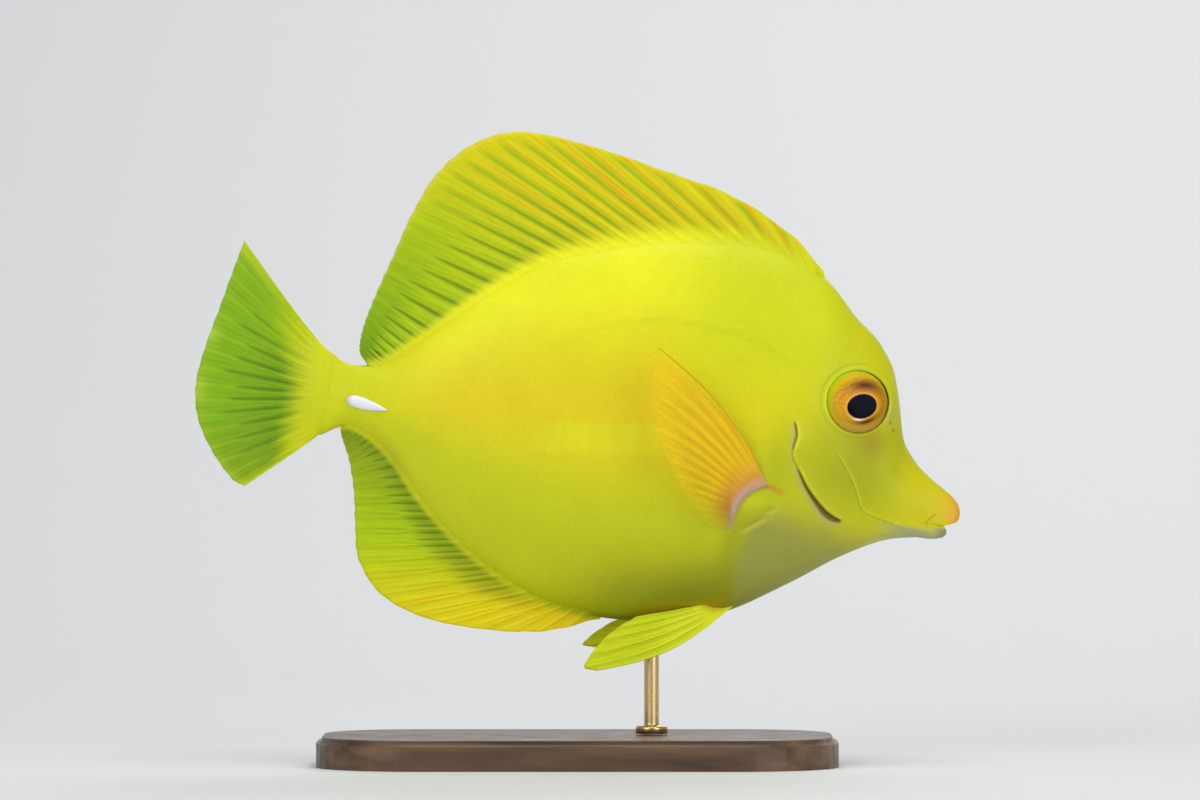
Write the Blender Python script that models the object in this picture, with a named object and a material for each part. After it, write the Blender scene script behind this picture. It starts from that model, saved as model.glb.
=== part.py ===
"""A yellow tang, life size, as a still model that swims on a plain display stand.

The fish is modelled level, in its own frame, and an empty then gives it the head-down pose.
In that frame s runs back from the tip of the snout, y to the fish's left and z up.
Lengths are written in millimetres and turned into metres by MM.
"""

import math

import bmesh
import bpy
from mathutils import Matrix, Vector

MM = 0.001
GAP = 0.3  # between touching pieces

# Pose of the whole fish
PITCH = math.radians(11.0)  # head down
SNOUT_X = 76.5  # place of the snout tip in the model's frame
SNOUT_Z = 50.4

# Outline of the fish without its fins, as (s, z)
BACK_LINE = [
    (0.05, 0.1), (0.4, 1.0), (1.6, 2.35), (4.1, 3.95), (7.6, 5.9), (11.4, 8.9), (14.3, 13.2),
    (15.9, 18.6), (18.0, 24.3), (21.5, 29.3), (28.2, 34.6), (34.0, 39.8), (41.0, 43.2),
    (50.0, 44.7), (60.0, 43.6), (80.0, 38.2), (92.0, 32.6), (102.0, 24.2), (113.0, 12.9),
    (119.5, 7.1), (124.0, 5.9), (127.0, 6.1), (129.6, 7.6),
]
BELLY_LINE = [
    (0.05, -1.6), (0.5, -3.0), (1.5, -4.6), (3.2, -5.6), (8.2, -6.4), (13.2, -7.8),
    (20.9, -12.2), (31.0, -20.1), (42.3, -28.0), (55.0, -32.3), (70.0, -33.9), (81.0, -32.5),
    (90.0, -28.9), (101.4, -22.0), (107.0, -17.4), (113.0, -11.5), (119.0, -7.4), (124.3, -6.3),
    (129.0, -9.2),
]
# Half of the body's width along s, and how high in each section the widest place lies
HALF_WIDTH = [
    (0.05, 0.7), (0.5, 1.45), (1.8, 2.15), (3.6, 2.45), (6.0, 2.9), (11.0, 4.6), (17.0, 6.8),
    (25.0, 9.1), (34.0, 10.3), (46.0, 10.6), (60.0, 10.2), (76.0, 8.9), (92.0, 7.0),
    (106.0, 5.0), (116.0, 3.6), (124.0, 3.0), (129.6, 2.3),
]
WAIST = [(0.05, 0.5), (10.0, 0.44), (24.0, 0.48), (46.0, 0.46), (90.0, 0.49), (129.6, 0.5)]
ROUNDNESS = [(0.05, 0.5), (12.0, 0.52), (30.0, 0.6), (60.0, 0.64), (110.0, 0.6), (129.6, 0.55)]
EDGE_HALF = [(0.05, 0.25), (1.5, 0.4), (8.0, 0.5), (30.0, 0.8), (129.6, 0.8)]  # rim the fins stand on

# Lines across the body's side from belly to back: s on the back, s on the belly, lean backwards
SECTION_LINES = [
    ("lips", 0.05, 0.05, 0.0),
    ("jaw corner", 5.0, 4.0, 1.0),
    ("cheek", 12.5, 6.0, 4.0),
    ("front of the eye", 16.5, 7.5, 8.0),
    ("preopercle", 24.0, 9.0, 11.5),
    ("gill cover edge", 32.5, 12.5, 17.0),
    ("shoulder", 44.0, 30.0, 15.0),
    ("breast", 56.0, 46.0, 10.0),
    ("middle", 70.0, 63.0, 5.0),
    ("flank", 86.0, 82.0, 1.5),
    ("hind flank", 102.0, 101.0, 0.0),
    ("tail stem", 114.5, 113.5, 0.0),
    ("tail fin root", 129.6, 129.0, 0.0),
]
PREOPERCLE, GILL, STEM, TAIL = 4.0, 5.0, 11.0, 12.0  # indices of the lines above
SIDE_STEPS = 22  # faces from belly to back on each side
EVEN_SHARE = 0.4  # 0 crowds them at the rims, 1 spaces them evenly
HEAD_STEPS, TRUNK_STEPS, STEM_STEPS = 25, 28, 8
HEAD_CROWD, TRUNK_CROWD = 1.35, 1.15  # above 1 the lines stand closer at the front

# Relief of the head and breast. Shares run up the side from the belly, 0, to the back, 1
GILL_LIFT, GILL_LIFT_REACH = 0.45, 3.5  # the cover's rear edge stands proud of the cheek
GILL_ROUND, GILL_ROUND_REACH = 0.35, 0.7  # and is rounded over
GILL_SINK, GILL_SINK_FROM, GILL_SINK_REACH = 1.25, 0.4, 2.2  # the body dips behind it
SLIT_SHARES = (0.0, 0.03, 0.38, 0.56)  # the opening starts, is full, starts to close and is shut
PREOPERCLE_GROOVE, PREOPERCLE_WIDTH = 0.35, 0.7
PREOPERCLE_SHARES = (0.03, 0.08, 0.34, 0.44)
LIP_SWELL, LIP_Z, LIP_HEIGHT, LIP_ENDS = 0.35, -2.9, 1.6, (3.0, 7.0)
SHOULDER_PAD, PAD_LENGTH, PAD_HEIGHT = 0.9, 4.5, 7.5  # carries the pectoral fin

# Eyes
EYE_S, EYE_Z = 24.6, 17.9
EYE_RADIUS, EYE_BULGE = 6.0, 4.0
ORBIT_Y = 7.5  # how far out the flat ring of skin round the eye lies
EYE_SINK, EYE_DEPTH = 1.8, 4.6  # the eyeball's widest place and its back, inwards of that ring
EYE_FORWARD, EYE_UP = math.radians(12.0), math.radians(9.0)
EYE_SIDES, EYE_RINGS = 24, 5
ORBIT_FLAT, ORBIT_BLEND = 6.3, 9.5  # radii where the flat ends and where the cheek takes over
RIM_RADIUS, RIM_HALF = 6.1, 0.55  # raised rim: its ring and its thickness
RIM_SIDES, RIM_TURNS = 28, 8

# Nostrils, as (s, z, radius)
NOSTRILS = [(16.4, 13.6, 0.5), (17.3, 15.0, 0.38)]

# Mouth: the lower jaw's outline and the wider one cut from the head
JAW = [
    (2.1, -5.6), (1.75, -4.9), (1.8, -4.2), (2.2, -3.8), (3.0, -3.62), (6.2, -3.35), (8.3, -4.9),
    (9.2, -10.0), (2.1, -10.0),
]
JAW_ROOM = [
    (-2.0, -2.2), (0.6, -2.35), (1.6, -2.65), (2.7, -3.25), (6.3, -3.02), (8.65, -4.75),
    (9.6, -10.0), (8.0, -12.0), (-2.0, -12.0),
]

# Folding spine on each side of the tail stem
TANG_BACK, TANG_TIP = (124.6, -1.0), (116.2, -1.7)
TANG_HALF_HEIGHT, TANG_HALF_THICK, TANG_SET = 1.2, 0.85, 0.15
TANG_PROFILE = [
    (0.0, 0.3), (0.06, 0.72), (0.2, 0.98), (0.4, 1.0), (0.6, 0.8), (0.8, 0.5), (0.94, 0.2),
    (1.0, 0.06),
]  # share of the length, share of the height
TANG_SIDES = 10

# Unpaired fins: s of a guide ray's root on the body's rim, and (s, z) of its tip
DORSAL_GUIDES = [
    (34.2, 36.0, 42.3), (37.6, 43.6, 48.2), (43.5, 56.5, 53.6), (50.5, 70.5, 55.9),
    (58.0, 86.5, 58.0), (65.5, 100.5, 58.2), (73.0, 109.4, 54.2), (81.5, 115.6, 46.9),
    (91.0, 119.0, 38.0), (100.5, 121.2, 28.6), (109.5, 123.3, 19.6), (115.4, 124.3, 13.2),
    (118.6, 124.1, 9.0), (120.3, 122.6, 7.05),
]
DORSAL_SPINES, DORSAL_RAYS = 5, 24
ANAL_GUIDES = [
    (69.5, 71.5, -37.2), (71.0, 78.5, -39.6), (74.0, 89.0, -41.0), (79.0, 101.0, -41.0),
    (85.0, 110.4, -38.2), (91.5, 116.2, -32.3), (98.5, 118.2, -26.0), (106.0, 119.8, -19.2),
    (114.5, 121.9, -13.2), (121.0, 124.0, -9.2), (123.9, 124.9, -7.25),
]
ANAL_SPINES, ANAL_RAYS = 3, 20
# Tail fin: share of the root line up from the belly, and (s, z) of the tip
CAUDAL_GUIDES = [
    (0.0, 141.5, -22.0), (0.1, 144.4, -21.0), (0.22, 149.4, -16.2), (0.38, 153.4, -10.2),
    (0.5, 155.0, -3.6), (0.62, 154.5, 4.2), (0.78, 153.2, 12.2), (0.9, 151.9, 20.4),
    (1.0, 150.9, 26.2),
]
CAUDAL_BOW = (0.8, -0.9)  # how far the lowest and the highest ray bend away from the middle

CAUDAL_RAYS, CAUDAL_COLUMNS = 16, 4  # columns for each ray: branch, fork, branch, skin
CAUDAL_FORK = (0.25, 0.8)  # shares of its length where a ray starts to fork and is forked
CAUDAL_ROOT = 0.22  # share of its length in which a ray thins down from the stem's thickness
RAY_ROWS = [0.0, 0.06, 0.2, 0.4, 0.6, 0.8, 1.0]
PELVIC_ROWS = [0.0, 0.2, 0.34, 0.5, 0.67, 0.83, 1.0]  # its root lies on a slope and needs room
RAY_HALF = (0.62, 0.36)  # half thickness of a ray at its root and at its tip
SKIN_HALF = (0.34, 0.26)  # the same for the skin between the rays
SPINE_NOTCH, RAY_NOTCH = 0.9, 0.35  # how far the skin's edge stays behind the tips
NOTCH_LIMIT = 0.4  # and at most this share of a ray's length

# Pectoral fins: root line on the side, and the tips' places with how far out they stand
PECTORAL_TOP, PECTORAL_BOTTOM = (39.9, -1.4), (44.6, -11.0)
PECTORAL_TIPS = [
    (65.6, 20.9, 6.6), (68.1, 17.6, 7.4), (67.7, 11.6, 8.0), (65.8, 5.6, 8.4), (63.0, 0.4, 8.2),
    (59.6, -4.4, 7.5), (55.8, -8.0, 6.4), (51.6, -10.6, 5.2), (48.2, -12.4, 4.2),
]
PECTORAL_RAYS, PECTORAL_ROOT_HALF = 15, 0.55
PECTORAL_BOW = 1.8  # how far the middle of a ray bends outwards
PECTORAL_SWEEP = 2.6  # how far the first ray bends forwards

# Pelvic fins: root line under the breast, and the tips' places, y counted outwards
PELVIC_FRONT, PELVIC_REAR, PELVIC_ROOT_Y = 41.4, 46.8, 2.0
PELVIC_TIPS = [
    (65.4, -44.5, 8.2), (67.9, -44.4, 8.2), (67.4, -42.0, 7.8), (65.9, -39.2, 7.2),
    (64.2, -36.8, 6.6), (61.8, -34.4, 6.0), (59.6, -32.6, 5.4),
]
PELVIC_RAYS, PELVIC_ROOT_HALF = 6, 0.5
PELVIC_ROOT_SPREAD = 1.6  # how much further out its last ray is rooted
PELVIC_BOW = 0.8
PELVIC_SWEEP = 2.6
LEFT_PELVIC_RAISE = math.radians(9.0)  # the far one is held higher, by its first rays most
LEFT_PELVIC_REST = 0.65  # share of the raise that its last ray does without
LEFT_PELVIC_SHIFT = -1.0

RIM_STEP = 0.5  # over which the slope of the body's rim is taken
HALVINGS = 40  # of a search for a place on the body
SLIDE = (-3.0, 6.0)  # how far a fin's root may slide to meet the body
UNDERSIDE = 12.0  # height of the part of the body that faces down
BLOCK_HALF = 12.0  # half width of the blocks that part the lower jaw from the head

# Stand
BASE_LENGTH, BASE_WIDTH, BASE_THICK = 104.0, 56.0, 6.0
BASE_CORNER, BASE_BEVEL = 20.0, 1.2
ROD_S, ROD_RADIUS, COLLAR_RADIUS, COLLAR_THICK = 56.5, 1.5, 3.2, 1.6
ROD_SIDES = 20


def smooth_curve(points):
    """A function that passes smoothly through (x, y) points, and stays level past the ends."""
    xs = [p[0] for p in points]
    ys = [p[1] for p in points]
    steps = [b - a for a, b in zip(xs, xs[1:])]
    grades = [(b - a) / h for a, b, h in zip(ys, ys[1:], steps)]
    slopes = [grades[0]]
    for before, after, h_before, h_after in zip(grades, grades[1:], steps, steps[1:]):
        slopes.append((before * h_after + after * h_before) / (h_before + h_after))
    slopes.append(grades[-1])

    def value(x):
        x = min(max(x, xs[0]), xs[-1])
        i = max(0, min(len(steps) - 1, sum(1 for edge in xs[1:-1] if x >= edge)))
        h = steps[i]
        t = (x - xs[i]) / h
        t2, t3 = t * t, t * t * t
        return (
            (2 * t3 - 3 * t2 + 1) * ys[i]
            + (t3 - 2 * t2 + t) * h * slopes[i]
            + (3 * t2 - 2 * t3) * ys[i + 1]
            + (t3 - t2) * h * slopes[i + 1]
        )

    return value


back = smooth_curve(BACK_LINE)
belly = smooth_curve(BELLY_LINE)
half_width = smooth_curve(HALF_WIDTH)
waist = smooth_curve(WAIST)
roundness = smooth_curve(ROUNDNESS)
edge_half = smooth_curve(EDGE_HALF)
line_back = smooth_curve([(i, line[1]) for i, line in enumerate(SECTION_LINES)])
line_belly = smooth_curve([(i, line[2]) for i, line in enumerate(SECTION_LINES)])
line_lean = smooth_curve([(i, line[3]) for i, line in enumerate(SECTION_LINES)])


def mix(a, b, t):
    return a + (b - a) * t


def ease(low, high, x):
    """0 below low, 1 above high, smooth between."""
    t = min(max((x - low) / (high - low), 0.0), 1.0)
    return t * t * (3 - 2 * t)


def hump(x, middle, width):
    return math.exp(-(((x - middle) / width) ** 2))


def plain_half(s, z):
    """Half thickness of the smooth body at s and z."""
    low, high = belly(s), back(s)
    share = min(max((z - low) / (high - low), 0.0), 1.0)
    warped = share ** (math.log(0.5) / math.log(waist(s)))
    swell = max(math.sin(math.pi * warped), 0.0) ** roundness(s)
    edge = edge_half(s)
    return edge + (half_width(s) - edge) * swell


def orbit_plane(s, z):
    """Half thickness of the flat round the eye, which faces outwards, forwards and up."""
    return ORBIT_Y + math.tan(EYE_FORWARD) * (s - EYE_S) - math.tan(EYE_UP) * (z - EYE_Z)


def body_half(s, z):
    """Half thickness with the eye's flat, the lips and the pad that carries the pectoral fin."""
    y = plain_half(s, z)
    inner = min((y - edge_half(s)) / 2.0, 1.0)
    near = 1 - ease(ORBIT_FLAT, ORBIT_BLEND, math.hypot(s - EYE_S, z - EYE_Z))
    y = mix(y, orbit_plane(s, z), near * inner)
    y += LIP_SWELL * hump(z, LIP_Z, LIP_HEIGHT) * (1 - ease(*LIP_ENDS, s)) * inner
    root_s = (PECTORAL_TOP[0] + PECTORAL_BOTTOM[0]) / 2
    root_z = (PECTORAL_TOP[1] + PECTORAL_BOTTOM[1]) / 2
    return y + SHOULDER_PAD * hump(s, root_s, PAD_LENGTH) * hump(z, root_z, PAD_HEIGHT)


def line_point(u, t):
    """(s, z) on section line u, at share t of the way from belly to back."""
    s_low, s_high = line_belly(u), line_back(u)
    z_low, z_high = belly(s_low), back(s_high)
    s = mix(s_low, s_high, t) + line_lean(u) * math.sin(math.pi * math.sqrt(t))
    return s, max(mix(z_low, z_high, t), belly(s))


def side_shares():
    even = [i / SIDE_STEPS for i in range(SIDE_STEPS + 1)]
    return [mix((1 - math.cos(math.pi * t)) / 2, t, EVEN_SHARE) for t in even]


def window(shares, t):
    """0, then 1 between the middle two shares, then 0 again."""
    return ease(shares[0], shares[1], t) * (1 - ease(shares[2], shares[3], t))


def side_line(u, shift=0.0, change=lambda t: 0.0):
    """Points (s, y, z) up one side on section line u, moved by shift along s's side of the line."""
    shares = side_shares()
    flat = [line_point(u, t) for t in shares]
    points = []
    for i, (t, (s, z)) in enumerate(zip(shares, flat)):
        if shift:
            if i in (0, SIDE_STEPS):
                s += shift
                z = belly(s) if i == 0 else back(s)
            else:
                run = Vector(flat[i + 1]) - Vector(flat[i - 1])
                run.normalize()
                s, z = s + shift * run.y, z - shift * run.x
        y = body_half(s, z)
        if 0 < i < SIDE_STEPS:
            y = max(y + change(t), edge_half(s))
        points.append((s, y, z))
    return points


def closed_ring(side):
    """A ring round the body: up the right side, down the left one."""
    right = [(s, -y, z) for s, y, z in side]
    left = [(s, y, z) for s, y, z in reversed(side)]
    return right + left


def place(point):
    s, y, z = point
    return Vector((-s, y, z)) * MM


def new_object(name, mesh, material, parent):
    obj = bpy.data.objects.new(name, mesh)
    bpy.context.scene.collection.objects.link(obj)
    mesh.materials.append(material)
    obj.parent = parent
    return obj


def mesh_from(name, points, faces):
    mesh = bpy.data.meshes.new(name)
    mesh.from_pydata([place(p) for p in points], [], faces)
    shape = bmesh.new()
    shape.from_mesh(mesh)
    bmesh.ops.recalc_face_normals(shape, faces=shape.faces)
    shape.to_mesh(mesh)
    shape.free()
    return mesh


def lofted_mesh(name, rings):
    """Rings joined in turn, with a ladder of faces across the first and the last one."""
    count = len(rings[0])
    half = count // 2
    points = [p for ring in rings for p in ring]
    faces = []
    for k in range(len(rings) - 1):
        a, b = k * count, (k + 1) * count
        for i in range(count):
            j = (i + 1) % count
            faces.append((a + i, a + j, b + j, b + i))
    last = (len(rings) - 1) * count
    for i in range(half - 1):
        j = count - 1 - i
        faces.append((i, j, j - 1, i + 1))
        faces.append((last + i, last + i + 1, last + j - 1, last + j))
    return mesh_from(name, points, faces)


def body_rings(u_from, u_to, steps, crowd, start_shift, end_shift, relief):
    """Rings along the section lines; relief(u, t) is what the side rises or sinks there."""
    rings = []
    for k in range(steps + 1):
        u = mix(u_from, u_to, (k / steps) ** crowd)
        shift = start_shift if k == 0 else end_shift if k == steps else 0.0
        side = side_line(u, shift, lambda t, u=u: relief(u, t))
        rings.append(closed_ring(side))
    return rings


def line_spread(u, t, other):
    """How far apart lines u and other lie at share t."""
    a, b = line_point(u, t), line_point(other, t)
    return math.hypot(a[0] - b[0], a[1] - b[1])


def head_relief(u, t):
    """The gill cover's proud edge, and the groove of the preopercle in front of it."""
    off = line_spread(u, t, GILL)
    lift = GILL_LIFT * (1 - ease(0.0, GILL_LIFT_REACH, off))
    rounding = GILL_ROUND * (1 - ease(0.0, GILL_ROUND_REACH, off))
    groove = PREOPERCLE_GROOVE * hump(line_spread(u, t, PREOPERCLE), 0.0, PREOPERCLE_WIDTH)
    return (lift - rounding) * window(SLIT_SHARES, t) - groove * window(PREOPERCLE_SHARES, t)


def trunk_relief(u, t):
    """The dip behind the gill cover."""
    sink = GILL_SINK * (1 - ease(GILL_SINK_FROM, GILL_SINK_REACH, line_spread(u, t, GILL)))
    return -sink * window(SLIT_SHARES, t)


def no_relief(u, t):
    return 0.0


def prism(name, outline, half_depth):
    """A block with an (s, z) outline, reaching half_depth to each side."""
    count = len(outline)
    points = [(s, -half_depth, z) for s, z in outline] + [(s, half_depth, z) for s, z in outline]
    faces = [tuple(range(count)), tuple(range(2 * count - 1, count - 1, -1))]
    for i in range(count):
        j = (i + 1) % count
        faces.append((i, j, count + j, count + i))
    return mesh_from(name, points, faces)


def helper(name, mesh, parent):
    """A cutter: it shapes another piece and is no part of the model."""
    obj = bpy.data.objects.new(name, mesh)
    bpy.context.scene.collection.objects.link(obj)
    obj.parent = parent
    obj.hide_render = True
    obj.display_type = "WIRE"
    return obj


def carve(obj, cutter, operation="DIFFERENCE"):
    """Cuts or joins by the solver that always gives a closed surface: the eye's rim is a thin cut."""
    modifier = obj.modifiers.new(cutter.name, "BOOLEAN")
    modifier.object = cutter
    modifier.operation = operation
    modifier.solver = "MANIFOLD"


def turned_eye(name, radius, bulge, back_y):
    """A lens-shaped eyeball with a flat back, turned about its axis of sight along +Y."""
    profile = [(radius, back_y)]
    for k in range(EYE_RINGS):
        angle = math.pi / 2 * k / EYE_RINGS
        profile.append((radius * math.cos(angle), bulge * math.sin(angle)))
    points = []
    for r, y in profile:
        for i in range(EYE_SIDES):
            turn = 2 * math.pi * i / EYE_SIDES
            points.append((r * math.cos(turn), y, r * math.sin(turn)))
    front, rear = len(points), len(points) + 1
    points += [(0.0, bulge, 0.0), (0.0, back_y, 0.0)]
    faces = []
    for k in range(len(profile) - 1):
        for i in range(EYE_SIDES):
            j = (i + 1) % EYE_SIDES
            a, b = k * EYE_SIDES, (k + 1) * EYE_SIDES
            faces.append((a + i, a + j, b + j, b + i))
    top = (len(profile) - 1) * EYE_SIDES
    for i in range(EYE_SIDES):
        j = (i + 1) % EYE_SIDES
        faces.append((top + i, top + j, front))
        faces.append((i, rear, j))
    return mesh_from(name, points, faces)


def torus_mesh(name, radius, half, sides, turns):
    """A ring of round section about +Y."""
    points = []
    for i in range(sides):
        angle = 2 * math.pi * i / sides
        for j in range(turns):
            turn = 2 * math.pi * j / turns
            r = radius + half * math.cos(turn)
            points.append((r * math.cos(angle), half * math.sin(turn), r * math.sin(angle)))
    faces = []
    for i in range(sides):
        for j in range(turns):
            a, b = i * turns, ((i + 1) % sides) * turns
            faces.append((a + j, b + j, b + (j + 1) % turns, a + (j + 1) % turns))
    return mesh_from(name, points, faces)


def aim_eye(obj, side, inwards):
    """Puts a piece on the eye's axis; side is -1 on the right of the fish and 1 on the left."""
    turn = Matrix.Rotation(-side * EYE_FORWARD, 4, "Z") @ Matrix.Rotation(side * EYE_UP, 4, "X")
    flip = Matrix.Rotation(math.pi, 4, "Z") if side < 0 else Matrix.Identity(4)
    obj.rotation_euler = (turn @ flip).to_euler()
    sight = turn @ Vector((0.0, side, 0.0))
    obj.location = place((EYE_S, side * ORBIT_Y, EYE_Z)) - sight * inwards * MM


def tang_mesh(name, side, grow):
    """The folding spine: blunt at its root behind, pointed forwards, grown all round by grow."""
    (s_back, z_back), (s_tip, z_tip) = TANG_BACK, TANG_TIP
    length = math.hypot(s_back - s_tip, z_back - z_tip)
    along = ((s_tip - s_back) / length, (z_tip - z_back) / length)
    sides = TANG_SIDES
    points = []
    for share, height in TANG_PROFILE:
        reach = mix(-grow, length + grow, share)
        s_mid, z_mid = s_back + along[0] * reach, z_back + along[1] * reach
        middle = side * (plain_half(s_mid, z_mid) + TANG_SET)
        tall = TANG_HALF_HEIGHT * height + grow
        thick = TANG_HALF_THICK * math.sqrt(height) + grow
        for i in range(sides):
            turn = 2 * math.pi * i / sides
            up, out = math.sin(turn) * tall, math.cos(turn) * thick
            points.append((s_mid - along[1] * up, middle + side * out, z_mid + along[0] * -up))
    faces = [tuple(range(sides)), tuple(range(len(points) - 1, len(points) - 1 - sides, -1))]
    for k in range(len(TANG_PROFILE) - 1):
        for i in range(sides):
            j = (i + 1) % sides
            a, b = k * sides, (k + 1) * sides
            faces.append((a + i, a + j, b + j, b + i))
    return mesh_from(name, points, faces)


def sheet_mesh(name, columns):
    """A fin from columns of (right, left) points from root to edge, in triangles alike on both faces."""
    rows = len(columns[0])
    points = [pair[0] for column in columns for pair in column]
    points += [pair[1] for column in columns for pair in column]
    left = len(columns) * rows
    faces = []

    def quad(a, b, c, d):
        faces.append((a, b, c))
        faces.append((a, c, d))

    for c in range(len(columns) - 1):
        for r in range(rows - 1):
            a, b = c * rows + r, (c + 1) * rows + r
            quad(a, b, b + 1, a + 1)
            quad(left + a + 1, left + b + 1, left + b, left + a)
        a, b = c * rows, (c + 1) * rows
        quad(a, left + a, left + b, b)
        a, b = a + rows - 1, b + rows - 1
        quad(b, left + b, left + a, a)
    last = (len(columns) - 1) * rows
    for r in range(rows - 1):
        quad(r, r + 1, left + r + 1, left + r)
        quad(last + r + 1, last + r, left + last + r, left + last + r + 1)
    return mesh_from(name, points, faces)


def rim_point(line, s, outwards):
    """A point on the body's rim, moved off it by the gap; outwards is 1 on the back, -1 below."""
    slope = (line(s + RIM_STEP) - line(s - RIM_STEP)) / (2 * RIM_STEP)
    long = math.hypot(1.0, slope)
    return s - outwards * GAP * slope / long, line(s) + outwards * GAP / long


def guide_curves(guides):
    count = len(guides) - 1
    return [smooth_curve([(i / count, g[k]) for i, g in enumerate(guides)]) for k in range(3)]


def upright_fin(name, guides, line, outwards, spines, rays):
    """A fin in the middle plane: rays stand up as ridges in its surface, with skin between them."""
    root_s, tip_s, tip_z = guide_curves(guides)
    total = spines + rays
    columns = []
    for k in range(2 * total - 1):
        u = k / (2 * total - 2)
        on_ray = k % 2 == 0
        root = rim_point(line, root_s(u), outwards)
        tip = (tip_s(u), tip_z(u))
        length = math.hypot(tip[0] - root[0], tip[1] - root[1])
        notch = 0.0 if on_ray else SPINE_NOTCH if k // 2 < spines else RAY_NOTCH
        reach = 1 - min(notch, NOTCH_LIMIT * length) / length
        half = RAY_HALF if on_ray else SKIN_HALF
        column = []
        for row, share in enumerate(RAY_ROWS):
            s = mix(root[0], tip[0], share * reach)
            z = mix(root[1], tip[1], share * reach)
            y = edge_half(root[0]) if row == 0 else mix(half[0], half[1], share)
            column.append(((s, -y, z), (s, y, z)))
        columns.append(column)
    return sheet_mesh(name, columns)


def caudal_fin(name):
    """The tail fin: its root is as thick as the stem's end, and each ray forks on its way out."""
    share_curve, tip_s, tip_z = guide_curves(CAUDAL_GUIDES)
    total = CAUDAL_RAYS * CAUDAL_COLUMNS - 1
    columns = []
    for k in range(total):
        u = k / (total - 1)
        kind = k % CAUDAL_COLUMNS
        t = share_curve(u)
        root_s, root_z = line_point(TAIL, t)
        root_half = body_half(root_s, root_z)
        tip = (tip_s(u), tip_z(u))
        bow = CAUDAL_BOW[0] * (1 - u) ** 3 - CAUDAL_BOW[1] * u ** 3
        column = []
        notch = RAY_NOTCH if kind == 3 else 0.0
        length = math.hypot(tip[0] - root_s, tip[1] - root_z)
        for share in RAY_ROWS:
            reach = share * (1 - notch / length)
            s = mix(root_s + GAP, tip[0], reach)
            z = mix(root_z, tip[1], reach) - bow * math.sin(math.pi * share)
            ray = mix(RAY_HALF[0], RAY_HALF[1], share)
            skin = mix(SKIN_HALF[0], SKIN_HALF[1], share)
            forked = ease(*CAUDAL_FORK, share)
            plain = skin if kind == 3 else mix(ray, skin, forked) if kind == 1 else ray
            taper = 1 - ease(0.0, CAUDAL_ROOT, share)
            y = mix(plain, max(root_half, plain), taper)
            column.append(((s, -y, z), (s, y, z)))
        columns.append(column)
    return sheet_mesh(name, columns)


def first_true(test, low, high):
    """Where, between low and high, test turns from false to true."""
    for _ in range(HALVINGS):
        middle = (low + high) / 2
        if test(middle):
            high = middle
        else:
            low = middle
    return high


def onto_body(point, ahead, side):
    """Slides a point along ahead until it stands the gap off the body's side."""
    def is_clear(step):
        s, y, z = (p + a * step for p, a in zip(point, ahead))
        return side * y > body_half(s, z) + GAP
    step = first_true(is_clear, *SLIDE)
    return tuple(p + a * step for p, a in zip(point, ahead))


def fanned_fin(name, side, roots, tips, rays, rows, bow, sweep, root_half, settle=None):
    """A paired fin: rays fan from a root line on the skin, bend outwards, and the first ones forwards.

    Its root settles on the body along the rays, or in the direction that settle gives.
    """
    columns = []
    middles = []
    total = 2 * rays - 1
    for k in range(total):
        u = k / (total - 1)
        root, tip = Vector(roots(u)), Vector(tips(u))
        if k % 2:
            tip = root.lerp(tip, 1 - RAY_NOTCH / (tip - root).length)
        along, upwards = (tip - root).normalized(), tip - Vector(tips(1.0))
        forwards = upwards - along * upwards.dot(along)
        forwards = forwards.normalized() * sweep * (1 - u) ** 2
        line = []
        for share in rows:
            point = root.lerp(tip, share)
            arch = math.sin(math.pi * share)
            point.y += side * bow * arch
            line.append(point + forwards * arch)
        middles.append(line)
    across = Vector(tips(1.0)) - Vector(tips(0.0))
    for k, line in enumerate(middles):
        half = SKIN_HALF if k % 2 else RAY_HALF
        column = []
        for row, share in enumerate(rows):
            along = line[min(row + 1, len(line) - 1)] - line[max(row - 1, 0)]
            normal = along.cross(across).normalized()
            if normal.y * side < 0:
                normal.negate()
            thick = mix(half[0], half[1], share)
            if row == 0:
                thick = root_half
            outer, inner = line[row] + normal * thick, line[row] - normal * thick
            if row == 0:
                ahead = settle or along.normalized()
                outer, inner = onto_body(outer, ahead, side), onto_body(inner, ahead, side)
            pair = (tuple(outer), tuple(inner))
            column.append(pair if side < 0 else pair[::-1])
        columns.append(column)
    return sheet_mesh(name, columns)


def pectoral_fin(name, side):
    along = [smooth_curve([(i / (len(PECTORAL_TIPS) - 1), t[k]) for i, t in enumerate(PECTORAL_TIPS)])
             for k in range(3)]

    def roots(u):
        s = mix(PECTORAL_TOP[0], PECTORAL_BOTTOM[0], u)
        z = mix(PECTORAL_TOP[1], PECTORAL_BOTTOM[1], u)
        return s, side * (body_half(s, z) + GAP), z

    def tips(u):
        root = roots(u)
        return along[0](u), root[1] + side * along[2](u), along[1](u)

    return fanned_fin(name, side, roots, tips, PECTORAL_RAYS, RAY_ROWS, PECTORAL_BOW,
                      PECTORAL_SWEEP, PECTORAL_ROOT_HALF)


def belly_height(s, y):
    """Height on the underside where the body is y thick to one side."""
    return first_true(lambda z: body_half(s, z) > y, belly(s), belly(s) + UNDERSIDE)


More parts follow.
